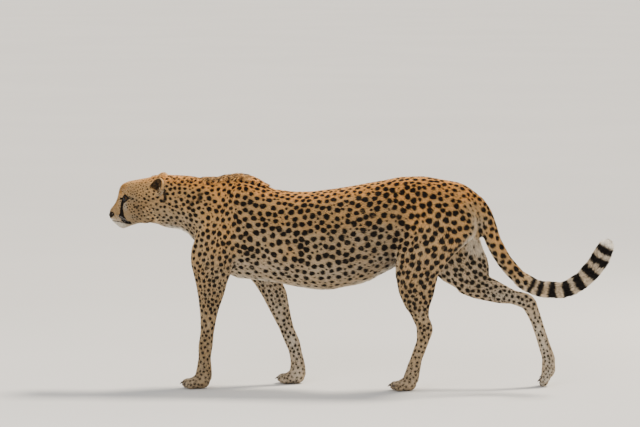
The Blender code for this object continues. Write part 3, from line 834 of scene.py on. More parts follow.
    def sculpt(self) -> None:
        """Sets the skin in under the coat, and models the face, the lids, the mouth and the toes."""
        points, normals = coordinates(self.item), normals_of(self.item)
        depth = GUIDES.blend(points)[1][:, 0] * MM * self.coat_share
        points = points - normals * depth[:, None]
        put(self.item, points)
        self.grow_tree()
        face = np.flatnonzero(points[:, 0] - SHIFT[0] < -0.66)
        at = HEAD.level(points[face])
        out = HEAD.level(points[face] + normals[face]) - at
        for sign in BOTH_SIDES:
            for stroke in self.strokes:
                away = far(at - np.array(stroke.at) * (1, sign, 1))
                at += out * (stroke.push * fall(away, stroke.reach))[:, None]
            for groove in self.grooves:
                away = to_line(at, self.side_line(groove.corners, sign))[0]
                at -= out * (groove.strength * fall(away, groove.half_width))[:, None]
        for opening in OPENINGS:
            at = self.lids(at, opening)
        at = at + np.array([self.nose_sink, 0, 0]) * ease((1.02 - NOSE.sizes_away(at)) / 0.25)[:, None]
        points[face] = HEAD.lean(at)
        put(self.item, self.feet(points, normals))
        self.grow_tree()

    def lids(self, points: Array, opening: EyeOpening) -> Array:
        """Draws the skin over an eyeball as lids and sinks it inside the opening.

        Args:
            points: places on the upright head.
            opening: the eye's opening.

        Returns:
            The moved places.
        """
        away, across, height = opening.angles(points)
        past = opening.past_edge(across, height)
        centre, ahead, _, _ = opening.axes()
        near = ((points - centre) @ ahead > 0) & (away < HEAD.eye_radius + 0.012)
        upper, lower = self.lid_swell
        crease = -self.lid_crease * fall(past - 11, 5.0) * (height > 0)
        swell = upper * fall(past - 20, 9.0) * (height > 0) + lower * fall(past - 12, 8.0) * (height < 0)
        draw = fall(np.maximum(past - 6, 0), 26.0)
        outside = away + (HEAD.eye_radius + self.lid_thickness - away) * draw + crease + swell
        inside = HEAD.eye_radius - self.socket_depth * ease(-past / 3.0)
        wanted = np.where(past > 0, outside, inside)
        scale = np.where(near, wanted / np.maximum(away, 1e-6), 1.0)
        return centre + (points - centre) * scale[:, None]

    def feet(self, points: Array, normals: Array) -> Array:
        """Presses a groove between each pair of toes, and thins the stumps under the claws.

        Args:
            points: frame places.
            normals: the skin's normals there.

        Returns:
            The moved places.
        """
        claws = Claws().lines()
        for left, right in zip(claws[:-1], claws[1:], strict=True):
            side = right[0] - left[0]
            if np.linalg.norm(side) > 0.03:
                continue
            back = unit(left[0] - left[1])
            side = unit(side - back * (side @ back))
            away = points - (left[0] + right[0]) / 2
            near = ease((0.036 - far(away)) / 0.010) * ease((0.028 - away @ back) / 0.012)
            groove = self.toe_depth * fall(np.abs(away @ side), self.toe_gap) * near
            points = points - normals * groove[:, None]
        for claw in claws:
            away, along = to_line(points, claw)
            near = (away < self.stump_reach) & (along > 0.02)
            spot = claw[0] + (claw[1] - claw[0]) * 0.15
            points[near] = spot + (points[near] - spot) * self.stump_share
        return points

    def build(self) -> None:
        """Makes the skin from the solids."""
        for step in (self.melt, self.round_off, self.refine, self.sculpt):
            step()

    def dress(self, markings: "Markings") -> None:
        """Stores the markings on the skin and gives it its material.

        Args:
            markings: the animal's markings.
        """
        surface = markings.surface
        marks = markings.paint(surface.points, surface.normals, surface.guides[:, 6], self.under_spots)
        for name, values in zip(("tone", "dark"), marks, strict=True):
            mark(self.item, name, values)
        put(self.item, np.maximum(coordinates(self.item), (-9.0, -9.0, 0.0)))
        flesh = sorted(n for n in frame["nodes"] if not n.startswith("eye_") and n != "nose")
        settled(self.item, SkinFinish().material(), Slot.COAT, *flesh)


@dataclass
class Roots:
    """Places on the skin with their normals, the lie of the coat and what the coat is like there."""

    places: Array
    normals: Array
    lie: Array
    values: Array

    def part(self, chosen: Array) -> "Roots":
        """Some of the roots, in the order asked for."""
        return Roots(self.places[chosen], self.normals[chosen], self.lie[chosen], self.values[chosen])


@dataclass
class Surface:
    """The finished skin as triangles to scatter roots on."""

    skin: Skin

    def __post_init__(self) -> None:
        """Reads the skin's triangles."""
        self.points, self.normals = coordinates(self.skin.item), normals_of(self.skin.item)
        self.faces = triangles(self.skin.item)
        corners = self.points[self.faces]
        self.areas = far(np.cross(corners[:, 1] - corners[:, 0], corners[:, 2] - corners[:, 0])) / 2
        self.middles = corners.mean(1)
        self.guides = np.concatenate(GUIDES.blend(self.points), 1)

    def scatter(self, weight: Array, count: int, rng: Rng) -> Roots:
        """Spreads roots evenly over the skin.

        Args:
            weight: how thickly each triangle is planted.
            count: how many roots.
            rng: the random source.

        Returns:
            The roots.
        """
        total = np.cumsum(self.areas * weight)
        at = (np.arange(count) + rng.uniform(0, 1, count)) / count * total[-1]
        chosen = self.faces[np.searchsorted(total, at).clip(0, len(total) - 1)]
        order = np.arange(count)[None] * np.array([[0.7548777], [0.5698403]])
        u, v = (order + rng.uniform(0, 0.35, (2, count))) % 1.0
        over = u + v > 1
        u, v = np.where(over, 1 - u, u), np.where(over, 1 - v, v)
        share = np.stack([1 - u - v, u, v], 1)[:, :, None]
        places, normals, guides = ((a[chosen] * share).sum(1) for a in (self.points, self.normals, self.guides))
        return Roots(places, unit(normals), unit(guides[:, :3]), guides[:, 3:])


@dataclass(frozen=True)
class Patch:
    """A soft patch on both sides of the head: where, its half-sizes, its tone, strength and darkness; on some face
    patches the darkness is painted shade.
    """

    at: Point
    sizes: Point
    tone: float
    strength: float
    dark: float = 0.0


@dataclass(frozen=True)
class EarShape:
    """An ear on the upright head, on the side where Y is above 0: a shell with a cup pressed into it."""

    centre: Point = (-0.6720, 0.0580, 0.6765)
    facing: Point = (-0.60, 0.74, 0.30)
    rise: Point = (0.12, 0.30, 0.94)
    shell: Point = (0.0285, 0.0170, 0.0350)
    cup: Point = (0.0198, 0.0165, 0.0262)
    opening: float = 0.0115
    hollow: Point = (-0.6800, 0.0560, 0.6600)

    def seen(self, points: Array, out: Array) -> tuple[Array, Array, Array, Array]:
        """Places as the ear sees them.

        Args:
            points: places on the upright head, with Y above 0.
            out: their normals.

        Returns:
            How many half-sizes they lie from the middle of the cup and of the shell, how far up the ear,
            and how far their normals look the cup's way.
        """
        ahead = unit(np.array(self.facing))
        up = np.array(self.rise)
        up = unit(up - ahead * (up @ ahead))
        local = (points - self.centre) @ np.array([np.cross(ahead, up), ahead, up]).T
        height = (points - self.centre) @ up
        return far((local - (0, self.opening, 0)) / self.cup), far(local / self.shell), height, out @ ahead


@dataclass
class Markings:
    """Spots, tear lines, tail rings and the tones of the coat, with painted shade on the face and in the ears' cups,
    and a golden tone on upward faces that is partly painted sunlight. A ring is its X, its Z and its half-length.
    """

    surface: Surface
    seed: int = 41
    candidates: int = 90000
    edge: float = 0.09
    swell: float = 1.27
    closest: float = 2.12
    gap_share: float = 0.62
    large: float = 4.2
    lines: tuple[Line, ...] = (
        Line(((-0.7870, 0.6320), (-0.7915, 0.6210), (-0.7940, 0.6080), (-0.7950, 0.5940)), 0.0070),
        Line(((-0.7950, 0.5940), (-0.7940, 0.5800), (-0.7925, 0.5690)), 0.0078),
        Line(((-0.7975, 0.5760), (-0.7900, 0.5680)), 0.0085),
        Line(((-0.7900, 0.5620), (-0.7790, 0.5550), (-0.7705, 0.5525)), 0.0080),
        Line(((-0.8400, 0.5570), (-0.8260, 0.5560), (-0.8060, 0.5540), (-0.7860, 0.5525)), 0.0022, 0.95),
        Line(((-0.7760, 0.6440), (-0.7650, 0.6400), (-0.7560, 0.6370)), 0.0036, 0.95),
        Line(((-0.7480, 0.6140), (-0.7370, 0.6120)), 0.0030, 0.9),
        Line(((-0.6480, 0.6560), (-0.6450, 0.6420), (-0.6490, 0.6280)), 0.0050, 0.95),
    )
    # Face patches. The darkness of the first two, over the whole face and the muzzle, and of the last two, on the nose
    # bridge and the forehead, is painted shade; on the forehead it is partly the coat's own dark speckle too. The
    # other patches are the coat's own pale marks.
    patches: tuple[Patch, ...] = (
        Patch((-0.7500, 0.046, 0.5960), (0.076, 0.058, 0.054), 0.64, 0.60, 0.38),
        Patch((-0.8160, 0.024, 0.5860), (0.030, 0.026, 0.022), 0.64, 0.85, 0.30),
        Patch((-0.8040, 0.010, 0.5430), (0.036, 0.036, 0.015), 0.00, 1.0),
        Patch((-0.8220, 0.018, 0.5610), (0.018, 0.020, 0.006), 0.06, 0.85),
        Patch((-0.7790, 0.040, 0.6080), (0.012, 0.018, 0.020), 0.14, 0.90),
        Patch((-0.7880, 0.026, 0.6600), (0.012, 0.012, 0.005), 0.20, 0.45),
        Patch((-0.7560, 0.056, 0.5760), (0.024, 0.020, 0.010), 0.32, 0.45),
        Patch((-0.8160, 0.006, 0.6140), (0.024, 0.026, 0.030), 0.76, 0.70, 0.30),
        Patch((-0.7960, 0.012, 0.6640), (0.024, 0.034, 0.026), 0.95, 0.70, 0.42),
    )
    blotches: tuple[Patch, ...] = (
        Patch((-0.531, 0.076, 0.640), (0.012, 0.040, 0.022), 0.8, 0.0, 0.82),
        Patch((-0.556, 0.070, 0.614), (0.009, 0.040, 0.013), 0.8, 0.0, 0.66),
    )
    rings: tuple[Point, ...] = (
        (0.567, 0.350, 0.0080), (0.596, 0.338, 0.0100), (0.636, 0.333, 0.0140), (0.683, 0.338, 0.0140),
        (0.725, 0.358, 0.0140), (0.762, 0.391, 0.0140), (0.790, 0.428, 0.0130), (0.811, 0.463, 0.0115),
    )
    white_tip: float = 0.962
    ragged: float = 0.0022
    spotted_tail: float = 0.50

    def __post_init__(self) -> None:
        """Lays the face's lines on the skin and spreads the spots."""
        lay = self.surface.skin.side_line
        self.face_lines = [(lay(line.corners, sign), line) for line in self.lines for sign in BOTH_SIDES]
        self.tail = STRANDS["tail"].line() + SHIFT
        self.tail_length = far(np.diff(self.tail, axis=0)).sum()
        self.spots = self.spread()
        LOG.info("markings: %d spots", len(self.spots))

    def spread(self) -> Array:
        """Spreads large spots by dart throwing, then small ones into the gaps between them.

        Returns:
            For each spot its place, radius, two axes and three numbers for its outline.
        """
        rng = np.random.default_rng(self.seed)
        roots = self.surface.scatter(np.ones(len(self.surface.areas)), self.candidates, rng)
        roots = roots.part(np.argsort(roots.places[:, 0]))
        places, normals, lie, values = roots.places, roots.normals, roots.lie, roots.values
        radius = values[:, 1] * MM * self.swell * rng.uniform(0.84, 1.14, len(places))
        spacing = values[:, 2] * MM * rng.uniform(0.84, 0.98, len(places))
        spacing = np.maximum(spacing, self.closest * radius)
        gaps = self.may_spot(places)
        chosen = self.throw(places, spacing, gaps & (radius > 0.0006), rng)
        for i in chosen:
            near = self.window(places[:, 0], places[i, 0], spacing[i])
            gaps[near] &= far(places[near] - places[i]) > radius[i] + values[near, 1] * MM * 1.15
        small = self.throw(places, spacing * self.gap_share, gaps & (values[:, 1] > self.large), rng)
        radius[small] *= rng.uniform(0.34, 0.56, len(small))
        every = np.concatenate([chosen, small]).astype(int)
        along = unit(lie[every] - normals[every] * (lie[every] * normals[every]).sum(1, keepdims=True))
        across = np.cross(normals[every], along)
        outline = rng.uniform(0, TURN, (len(every), 3))
        return np.concatenate([places[every], radius[every, None], along, across, outline], 1)

    def along_tail(self, places: Array, half_width: float) -> tuple[Array, Array]:
        """Which places are on the tail and so near its middle plane, and their shares of its length."""
        away, share = to_line(places, self.tail)
        return (away < 0.05) & (places[:, 0] > 0.40) & (np.abs(places[:, 1]) < half_width), share

    def may_spot(self, places: Array) -> Array:
        """Where spots may lie: not on the rings, the tail's end, the ears or the face's front.

        Args:
            places: frame places.

        Returns:
            Yes or no for each.
        """
        on_tail, share = self.along_tail(places, 0.036)
        x, y, z = HEAD.level(places).T
        ear = (x > -0.705) & (x < -0.64) & (z > 0.676) & (np.abs(y) > 0.034)
        front = (x < -0.760) & (z < 0.600) | (x < -0.806) & (z < 0.640)
        return ~(on_tail & (share > self.spotted_tail)) & ~ear & ~front

    @staticmethod
    def window(xs: Array, x: float, reach: float) -> slice:
        """The run of sorted numbers that lie within reach of one."""
        return slice(*np.searchsorted(xs, (x - reach, x + reach)))

    def throw(self, places: Array, spacing: Array, free: Array, rng: Rng) -> Array:
        """Chooses places that keep their distance from each other.

        Args:
            places: the candidates, sorted by X.
            spacing: the distance each keeps.
            free: which may be chosen.
            rng: the random source.

        Returns:
            The chosen candidates' numbers.
        """
        free, chosen = free.copy(), []
        for i in rng.permutation(len(places)):
            if free[i]:
                chosen.append(i)
                near = self.window(places[:, 0], places[i, 0], spacing[i] * 1.5)
                free[near] &= far(places[near] - places[i]) > (spacing[i] + spacing[near]) / 2
        return np.array(chosen, int)

    def spotted(self, points: Array, normals: Array, grow: Array) -> Array:
        """How dark the spots make places.

        Args:
            points: frame places.
            normals: their normals.
            grow: how much wider each place sees the spots.

        Returns:
            Darkness from 0 to 1.
        """
        order = np.argsort(points[:, 0])
        points, normals, wider = points[order], normals[order], grow[order]
        dark = np.zeros(len(points))
        for spot in self.spots:
            at, radius, along, across = spot[:3], spot[3], spot[4:7], spot[7:10]
            near = self.window(points[:, 0], at[0], radius * 2.2)
            away = points[near] - at
            a, b, up = away @ along / 1.06, away @ across, np.cross(along, across)
            turn = np.arctan2(b, a)
            shape = 1 + 0.08 * np.sin(2 * turn + spot[10]) + 0.06 * np.sin(3 * turn + spot[11])
            shape += 0.03 * np.sin(5 * turn + spot[12])
            out = (np.hypot(a, b) - wider[near]) / (radius * shape)
            facing = (np.abs(away @ up) < 0.014) & (normals[near] @ up > -0.2)
            dark[near] = np.maximum(dark[near], ease((1 + self.edge - out) / (2 * self.edge)) * facing)
        back = np.empty(len(points))
        back[order] = dark
        return back

    def tail_bands(self, points: Array, tone: Array, dark: Array) -> tuple[Array, Array]:
        """Adds the tail's rings and its white tip.

        Args:
            points: frame places.
            tone: the tones so far.
            dark: the darkness so far.

        Returns:
            The new tones and darkness.
        """
        on_tail, share = self.along_tail(points, 0.045)
        along = share * self.tail_length
        ragged = self.ragged * wave(points, 0.016, 5)
        bands = np.zeros(len(points))
        for x, z, half in self.rings:
            middle = to_line(np.array([(x, 0, z)]) + SHIFT, self.tail)[1][0] * self.tail_length
            bands = np.maximum(bands, ease((half - np.abs(along - middle) + ragged) / self.ragged + 0.5))
        tip = ease((share - self.white_tip) / 0.012 + ragged * 120)
        under = ease((self.tail_at(along) - points[:, 2]) / 0.02)
        pale = 0.30 * ease((share - 0.40) / 0.2)
        ringed = (tone - 0.34 * under - pale * (1 - under)) * (1 - tip)
        return np.where(on_tail, ringed, tone), np.where(on_tail, np.maximum(dark, bands) * (1 - tip), dark)

    def tail_at(self, along: Array) -> Array:
        """The height of the tail's middle line at distances along it."""
        return np.interp(along, stations(self.tail), self.tail[:, 2])

    def face(self, points: Array, normals: Array, tone: Array, dark: Array) -> tuple[Array, Array]:
        """Adds the face's patches, some of them painted shade, and its tear lines, lips, lids and ears.

        Args:
            points: frame places, all on the head.
            normals: their normals.
            tone: the tones so far.
            dark: the darkness so far.

        Returns:
            The new tones and darkness.
        """
        at = HEAD.level(points)
        # Some of the patches darken the face with painted shade.
        for patch in self.patches:
            inside = np.clip(fall(far((folded(at) - patch.at) / patch.sizes), 1.25) * 1.6, 0, 1)
            tone = tone + (patch.tone - tone) * patch.strength * inside
            dark = np.maximum(dark, patch.dark * inside)
        for line, kind in self.face_lines:
            away = to_line(at, line)[0] + 0.0004 * wave(at, 0.006, 9)
            dark = np.maximum(dark, kind.strength * ease((kind.half_width - away) / 0.0012 + 0.5))
        for opening in OPENINGS:
            away, across, height = opening.angles(at)
            past = opening.past_edge(across, height)
            near = (away < 0.030) & (past < 44)
            ring = ease((past - 25) / 5) * ease((40 - past) / 9) * (height > -8)
            tone = np.where(near, tone + (0.26 - tone) * ring * 0.35, tone)
            dark = np.where(near, np.maximum(dark * (1 - ring * 0.7), ease((23 - past) / 7)), dark)
        dark = np.maximum(dark, 0.97 * ease((1.06 - NOSE.sizes_away(at, NOSE.mask)) / 0.08))
        x, y, z = at.T
        split = ease((0.0016 - np.abs(y)) / 0.0012 + 0.5) * (x < -0.822) * (z > 0.553)
        dark = np.maximum(dark, 0.9 * split * ease((0.570 - z) / 0.004))
        return self.ears(at, HEAD.level(points + normals) - at, tone, dark)

    def ears(self, at: Array, out: Array, tone: Array, dark: Array) -> tuple[Array, Array]:
        """Adds the ears' black backs and light rims, and painted shade in their cups, deepest in the hollow.

        Args:
            at: places on the upright head.
            out: their normals on the upright head.
            tone: the tones so far.
            dark: the darkness so far.

        Returns:
            The new tones and darkness.
        """
        ear, place = EarShape(), folded(at)
        mirrored = np.stack([out[:, 0], out[:, 1] * np.sign(at[:, 1]), out[:, 2]], 1)
        cup, shell, height, forward = ear.seen(place, mirrored)
        is_ear = ease((1.30 - shell) / 0.10) * ease((height + 0.012) / 0.006)
        inner = ease((1.30 - cup) / 0.10) * is_ear
        outer = is_ear * (1 - inner)
        behind = ease((-0.05 - forward) / 0.25) * is_ear * (1 - inner)
        tone = tone + (0.74 - tone) * is_ear * (1 - inner) * 0.8
        tone = tone + (0.80 - tone) * inner
        dark = dark * (1 - outer * 0.8)
        dark = np.maximum(dark, behind * ease((0.026 - height) / 0.006) * 0.96)
        low = outer * ease((0.004 - height) / 0.006) * (0.30 + 0.30 * wave(at, 0.006, 33))
        # The cup is darkened with painted shade, and round the hollow with a painted shadow that is almost black.
        cup_shade = 0.92 + 0.06 * wave(at, 0.010, 31)
        hollow = fall(far(place - ear.hollow), 0.017)
        return tone, np.maximum(np.maximum(dark, low), inner * np.maximum(cup_shade, 0.97 * np.sqrt(hollow)))

    def paint(self, points: Array, normals: Array, tone: Array, grow: float = 0.0) -> tuple[Array, Array]:
        """The markings of any places on or just over the skin.

        Args:
            points: frame places.
            normals: their normals.
            tone: the guides' tone there.
            grow: how much wider the spots are behind the head.

        Returns:
            Their tone and their darkness.
        """
        own = points - SHIFT
        x, y, z = own.T
        up = normals[:, 2]
        trunk = ease((z - 0.36) / 0.06) * ease((x + 0.68) / 0.05)
        # On the trunk, faces that look up take a more golden tone, partly the coat's own golden back and partly
        # painted sunlight. Faces that look down take a paler tone, the coat's own pale underside.
        tone = tone + trunk * (0.12 * np.clip(up, 0, 1) - 0.30 * np.clip(-up, 0, 1) ** 1.5)
        leg = ease((0.50 - z) / 0.12) * (np.abs(y) > 0.02)
        tone -= leg * 0.26 * np.clip(-np.sign(y) * normals[:, 1], 0, 1)
        tone += 0.06 * wave(points, 0.11, 3) + 0.035 * wave(points, 0.035, 4)
        wider = grow * ease((x + 0.72) / 0.05)
        dark = self.spotted(points, normals, wider) * (1 - 0.35 * ease((0.16 - tone) / 0.16))
        unsettled = folded(own) + 0.005 * wave(points, 0.02, 41)[:, None]
        for blotch in self.blotches:
            inside = fall(far((unsettled - blotch.at) / blotch.sizes), 1.2)
            dark = np.maximum(dark, blotch.dark * np.clip(inside * 1.8, 0, 1))
        tone, dark = self.tail_bands(points, tone, dark)
        head = np.flatnonzero(x < -0.62)
        tone[head], dark[head] = self.face(points[head], normals[head], tone[head], dark[head])
        return np.clip(tone, 0, 1.05), np.clip(dark, 0, 1)


class Region(Enum):
    """The coat's pieces."""

    HEAD = "head"
    NECK = "neck"
    TRUNK_FRONT = "trunk_front"
    TRUNK_REAR = "trunk_rear"
    FORELEGS = "forelegs"
    HINDLEGS = "hindlegs"
    TAIL = "tail"


@dataclass(frozen=True)
class Fringe:
    """Longer hair along a line: its corners, reach and length in millimetres, and its lift in degrees.

    It may have a tone, a share of black tufts and a lie of its own.
    """

    name: str
    points: tuple[tuple[int, int, int], ...]
    reach: int
    count: int
    length: float
    lift: float
    tone: float | None = None
    dark: float = 0.0
    mirrored: bool = False
    lie: Point | None = None


@dataclass
class Coat:
    """All the tufts, in pieces of fewer than 200,000 triangles. The counts follow the regions."""

    surface: Surface
    markings: Markings
    counts: tuple[int, ...] = (64000, 48000, 66000, 66000, 58000, 65000, 34000)
    width_share: float = 0.255
    lift: float = 12.0
    patch_size: float = 0.0015
    fringes: tuple[Fringe, ...] = (
        Fringe("nape", ((-660, 0, 703), (-600, 0, 703), (-540, 0, 698), (-480, 0, 696)),
               50, 4200, 12, 46, lie=(0.55, 0.0, 0.84)),
        Fringe("withers crest", ((-500, 0, 694), (-440, 0, 704), (-400, 0, 706), (-340, 0, 688)),
               40, 3000, 16, 46, lie=(0.7, 0.0, 0.72)),
        Fringe("dark crest", ((-520, -14, 692), (-460, -18, 696), (-385, -18, 697)),
               26, 900, 21, 44, 0.85, 0.62, mirrored=True, lie=(0.6, 0.0, 0.8)),
        Fringe("chest", ((-650, 0, 533), (-600, 0, 523), (-555, 0, 485), (-520, 0, 430)), 34, 2400, 19, 13),
        Fringe("belly", ((-420, 0, 366), (-250, 0, 345), (-110, 0, 328), (80, 0, 388)), 40, 3200, 20, 11),
        Fringe("seat", ((392, -50, 590), (392, -65, 530), (360, -72, 470)), 24, 1000, 12, 13, mirrored=True),
        Fringe("ruff", ((-705, -66, 600), (-690, -66, 575), (-680, -55, 552)), 20, 700, 12, 15, mirrored=True),
        Fringe("tail end", ((790, 0, 428), (812, 0, 466), (826, 0, 492)), 34, 2200, 17, 15),
        Fringe("ear cup", ((-664, -70, 652), (-656, -72, 664)),
               12, 80, 9, 26, 0.34, 0.22, mirrored=True, lie=(0.35, -0.2, 0.9)),
        Fringe("tail brush", ((540, 0, 366), (577, 0, 346), (636, 0, 332), (694, 0, 342), (744, 0, 373),
                              (782, 0, 415), (808, 0, 458)), 34, 5200, 20, 22),
    )

    def regions(self, places: Array) -> Array:
        """Which piece of the coat each place belongs to.

        Args:
            places: frame places.

        Returns:
            The region of each, as its place in the list of regions.
        """
        x, y, z = (places - SHIFT).T
        tail = (x > 0.405) & (np.abs(y) < 0.036) & (to_line(places, self.markings.tail)[0] < 0.05)
        rules = {
            Region.TAIL: tail,
            Region.HEAD: x < -0.665,
            Region.NECK: (x < -0.50) & (z > 0.43),
            Region.FORELEGS: (x < -0.17) & (z < 0.43),
            Region.HINDLEGS: (x > 0.07) & (z < 0.52),
            Region.TRUNK_FRONT: x < -0.13,
        }
        order = list(Region)
        return np.select(list(rules.values()), [order.index(r) for r in rules], order.index(Region.TRUNK_REAR))

    def thickness(self, places: Array, length: Array) -> Array:
        """How thickly triangles are planted: more closely where the hair is shorter.

        Args:
            places: the triangles' middles.
            length: the hair's length in millimetres.

        Returns:
            A weight for each triangle.
        """
        at = HEAD.level(places)
        face = 1 + 0.8 * ease((-0.72 - at[:, 0]) / 0.05)
        bare = (places[:, 2] < 0.0035) | (NOSE.sizes_away(at) < 1.03)
        for opening in OPENINGS:
            away, across, height = opening.angles(at)
            bare |= (opening.past_edge(across, height) < 3.5) & (away < 0.024)
        return np.where(bare, 0.0, face / np.clip(length, 3.0, 12.0) ** 0.9)

    @staticmethod
    def tufts(roots: Array, normals: Array, lie: Array, sizes: Array, bent: bool) -> tuple[Array, Array]:
        """Three-sided tapering tufts that leave the skin and lie down along it.

        Args:
            roots: where they grow.
            normals: the skin's normals there.
            lie: unit directions along the skin.
            sizes: their lengths, widths and lifts in degrees.
            bent: whether they bend.

        Returns:
            Vertex places and triangles.
        """
        length, width, lift = sizes
        across, reach, rise = np.cross(normals, lie), length[:, None], np.radians(lift)[:, None]
        way = lie * np.cos(rise) + normals * np.sin(rise)
        base = roots - normals * (0.12 * width)[:, None]
        half, deep = across * (width / 2)[:, None], normals * (width * 0.42)[:, None]
        rings = [np.stack([base - half, base + deep, base + half], 1)]
        tip = base + way * reach
        if bent:
            middle = base + way * reach * 0.55
            rings.append(np.stack([middle - half * 0.72, middle + deep * 0.8, middle + half * 0.72], 1))
            droop = np.radians(lift * 0.35)[:, None]
            tip = middle + (lie * np.cos(droop) + normals * np.sin(droop)) * reach * 0.45
        points = np.concatenate([*rings, tip[:, None]], 1)
        size = points.shape[1]
        faces = [(size - 4, size - 1, size - 3), (size - 3, size - 1, size - 2), (size - 2, size - 1, size - 4)]
        if bent:
            for a, b in ((0, 1), (1, 2), (2, 0)):
                faces += [(a, a + 3, b + 3), (a, b + 3, b)]
        starts = np.arange(len(roots))[:, None, None] * size
        return points.reshape(-1, 3), (starts + np.array(faces)[None]).reshape(-1, 3)

    def unwrap(self, places: Array, region: Region) -> Array:
        """Where roots lie on an unrolled skin.

        Args:
            places: the roots.
            region: which piece they are in.

        Returns:
            Two numbers from 0.02 to 0.98 for each.
        """
        own = places - SHIFT
        if region is Region.TAIL:
            share = to_line(places, self.markings.tail)[1]
            middle = self.markings.tail_at(share * self.markings.tail_length) - SHIFT[2]
            out = np.stack([share, np.arctan2(own[:, 2] - middle, own[:, 1]) / TURN + 0.5], 1)
        elif region in (Region.FORELEGS, Region.HINDLEGS):
            kind = "foreleg" if region is Region.FORELEGS else "hind shank"
            out = np.empty((len(places), 2))
            for index, side in enumerate(("left", "right")):
                mine = (own[:, 1] > 0) == (index == 1)
                x, y, z = own[mine].T
                line = STRANDS[f"{side} {kind}"].line()[::-1]
                turn = np.arctan2(y - np.sign(y) * 0.075, x - np.interp(z, line[:, 2], line[:, 0]))
                out[mine] = np.stack([z / 0.54, (turn / TURN + 0.5 + 1.06 * index) / 2.06], 1)
        else:
            x, y, z = HEAD.level(places).T
            middle = np.interp(x, (-0.84, -0.62, -0.40, 0.0, 0.40), (0.590, 0.615, 0.535, 0.510, 0.590))
            out = np.stack([(x - x.min()) / (x.max() - x.min()), np.arctan2(z - middle, y) / TURN + 0.5], 1)
            if region is Region.HEAD:
                out[:, 1] *= 0.72
                ear = (np.abs(y) > 0.034) & (z > 0.672) & (x > -0.71)
                around = np.arctan2(np.abs(y) - 0.058, x + 0.672) / TURN + 0.5
                out[ear, 0] = (around * 0.46 + (y > 0) * 0.52)[ear]
                out[ear, 1] = (0.76 + (z - 0.672) * 4.0)[ear]
        return np.clip(out, 0, 1) * 0.96 + 0.02

    def piece(self, region: Region, planted: Roots, rng: Rng, fringe: Fringe | None = None) -> tuple[Array, ...]:
        """The arrays of one batch of tufts; those of a fringe are bent.

        Args:
            region: whose unrolled skin it uses.
            planted: where the tufts grow.
            rng: the random source.
            fringe: the fringe that they belong to, if any.

        Returns:
            Places, triangles, map places and the marks of each vertex.
        """
        roots, normals, lie, values = planted.places, planted.normals, planted.lie, planted.values
        count, bent = len(roots), fringe is not None
        if bent and fringe.lie is not None:
            lie = np.tile(unit(np.array(fringe.lie)), (count, 1))
            lie[:, 1] *= np.where(roots[:, 1] > 0, 1, -1)
        lie = unit(lie - normals * (lie * normals).sum(1, keepdims=True))
        swirl = np.radians(9 * wave(roots, 0.06, 12) + rng.normal(0, 7, count))[:, None]
        lie = lie * np.cos(swirl) + np.cross(normals, lie) * np.sin(swirl)
        length = (np.full(count, fringe.length) if bent else values[:, 0]) * MM
        length = length * rng.uniform(0.74, 1.16, count)
        slim = np.clip(self.width_share * (10 * MM / np.maximum(length, 3 * MM)) ** 0.40, 0.09, 0.36)
        width = length * slim * rng.uniform(0.8, 1.2, count)
        lift = np.full(count, fringe.lift if bent else self.lift)
        lift = lift * rng.uniform(0.75, 1.3, count) + 1.5 * wave(roots, 0.02, 14)
        points, faces = self.tufts(roots, normals, lie, np.stack([length, width, lift]), bent)
        size = len(points) // count
        ends = [
            self.markings.paint(roots + lie * (length * share)[:, None], normals, values[:, 3])
            for share in ((0.25, 0.55) if bent else (0.34, 0.66))
        ]
        tone, dark = (np.stack([a] * (size - 1) + [b], 1).ravel() for a, b in zip(*ends, strict=True))
        if bent and fringe.tone is not None:
            tone = np.full(len(points), fringe.tone)
            dark = np.repeat(0.92 * (rng.uniform(0, 1, count) < fringe.dark), size)
        if region is Region.HEAD:
            grey = (rng.uniform(0, 1, count) < 0.16 * ease((roots[:, 2] - 0.600) / 0.03)) * 0.5
            dark = np.maximum(dark, np.repeat(grey, size))
        shade = np.repeat(rng.normal(0, 1.5 if region is Region.HEAD else 1.0, count).clip(-2, 2), size)
        along = np.tile([0, 0.12, 0, 0.5, 0.6, 0.5, 1.0] if bent else [0, 0.15, 0, 1.0], count)
        corners = np.array([(-1, -1), (0, -0.7), (1, -1), (-0.7, 0), (0, 0.1), (0.7, 0), (0, 1)])
        corners = corners if bent else corners[[0, 1, 2, 6]]
        home = np.repeat(self.unwrap(roots, region), size, axis=0) + np.tile(corners * self.patch_size, (count, 1))
        return points, faces, home, np.stack([tone, dark, shade, along], 1)

    @staticmethod
    def finish(name: str, batches: list[tuple[Array, ...]], material: Material) -> None:
        """Joins batches of tufts into one piece of the coat.

        Args:
            name: the piece's name.
            batches: what the method piece returned.
            material: the coat's material.
        """
        points, _, home, marks = (np.concatenate(rows) for rows in zip(*batches, strict=True))
        starts = np.cumsum([0] + [len(b[0]) for b in batches])
        faces = np.concatenate([b[1] + start for b, start in zip(batches, starts[:-1], strict=True)])
        points[:, 2] = np.maximum(points[:, 2], FLOOR_GAP)
        item = mesh_object(name, points, faces)
        for key, values in zip(("tone", "dark", "shade", "along"), marks.T, strict=True):
            mark(item, key, values)
        item.data.uv_layers.new(name="OFBake").data.foreach_set("uv", flat(home[faces.ravel()]))
        settled(item, material, Slot.COAT)

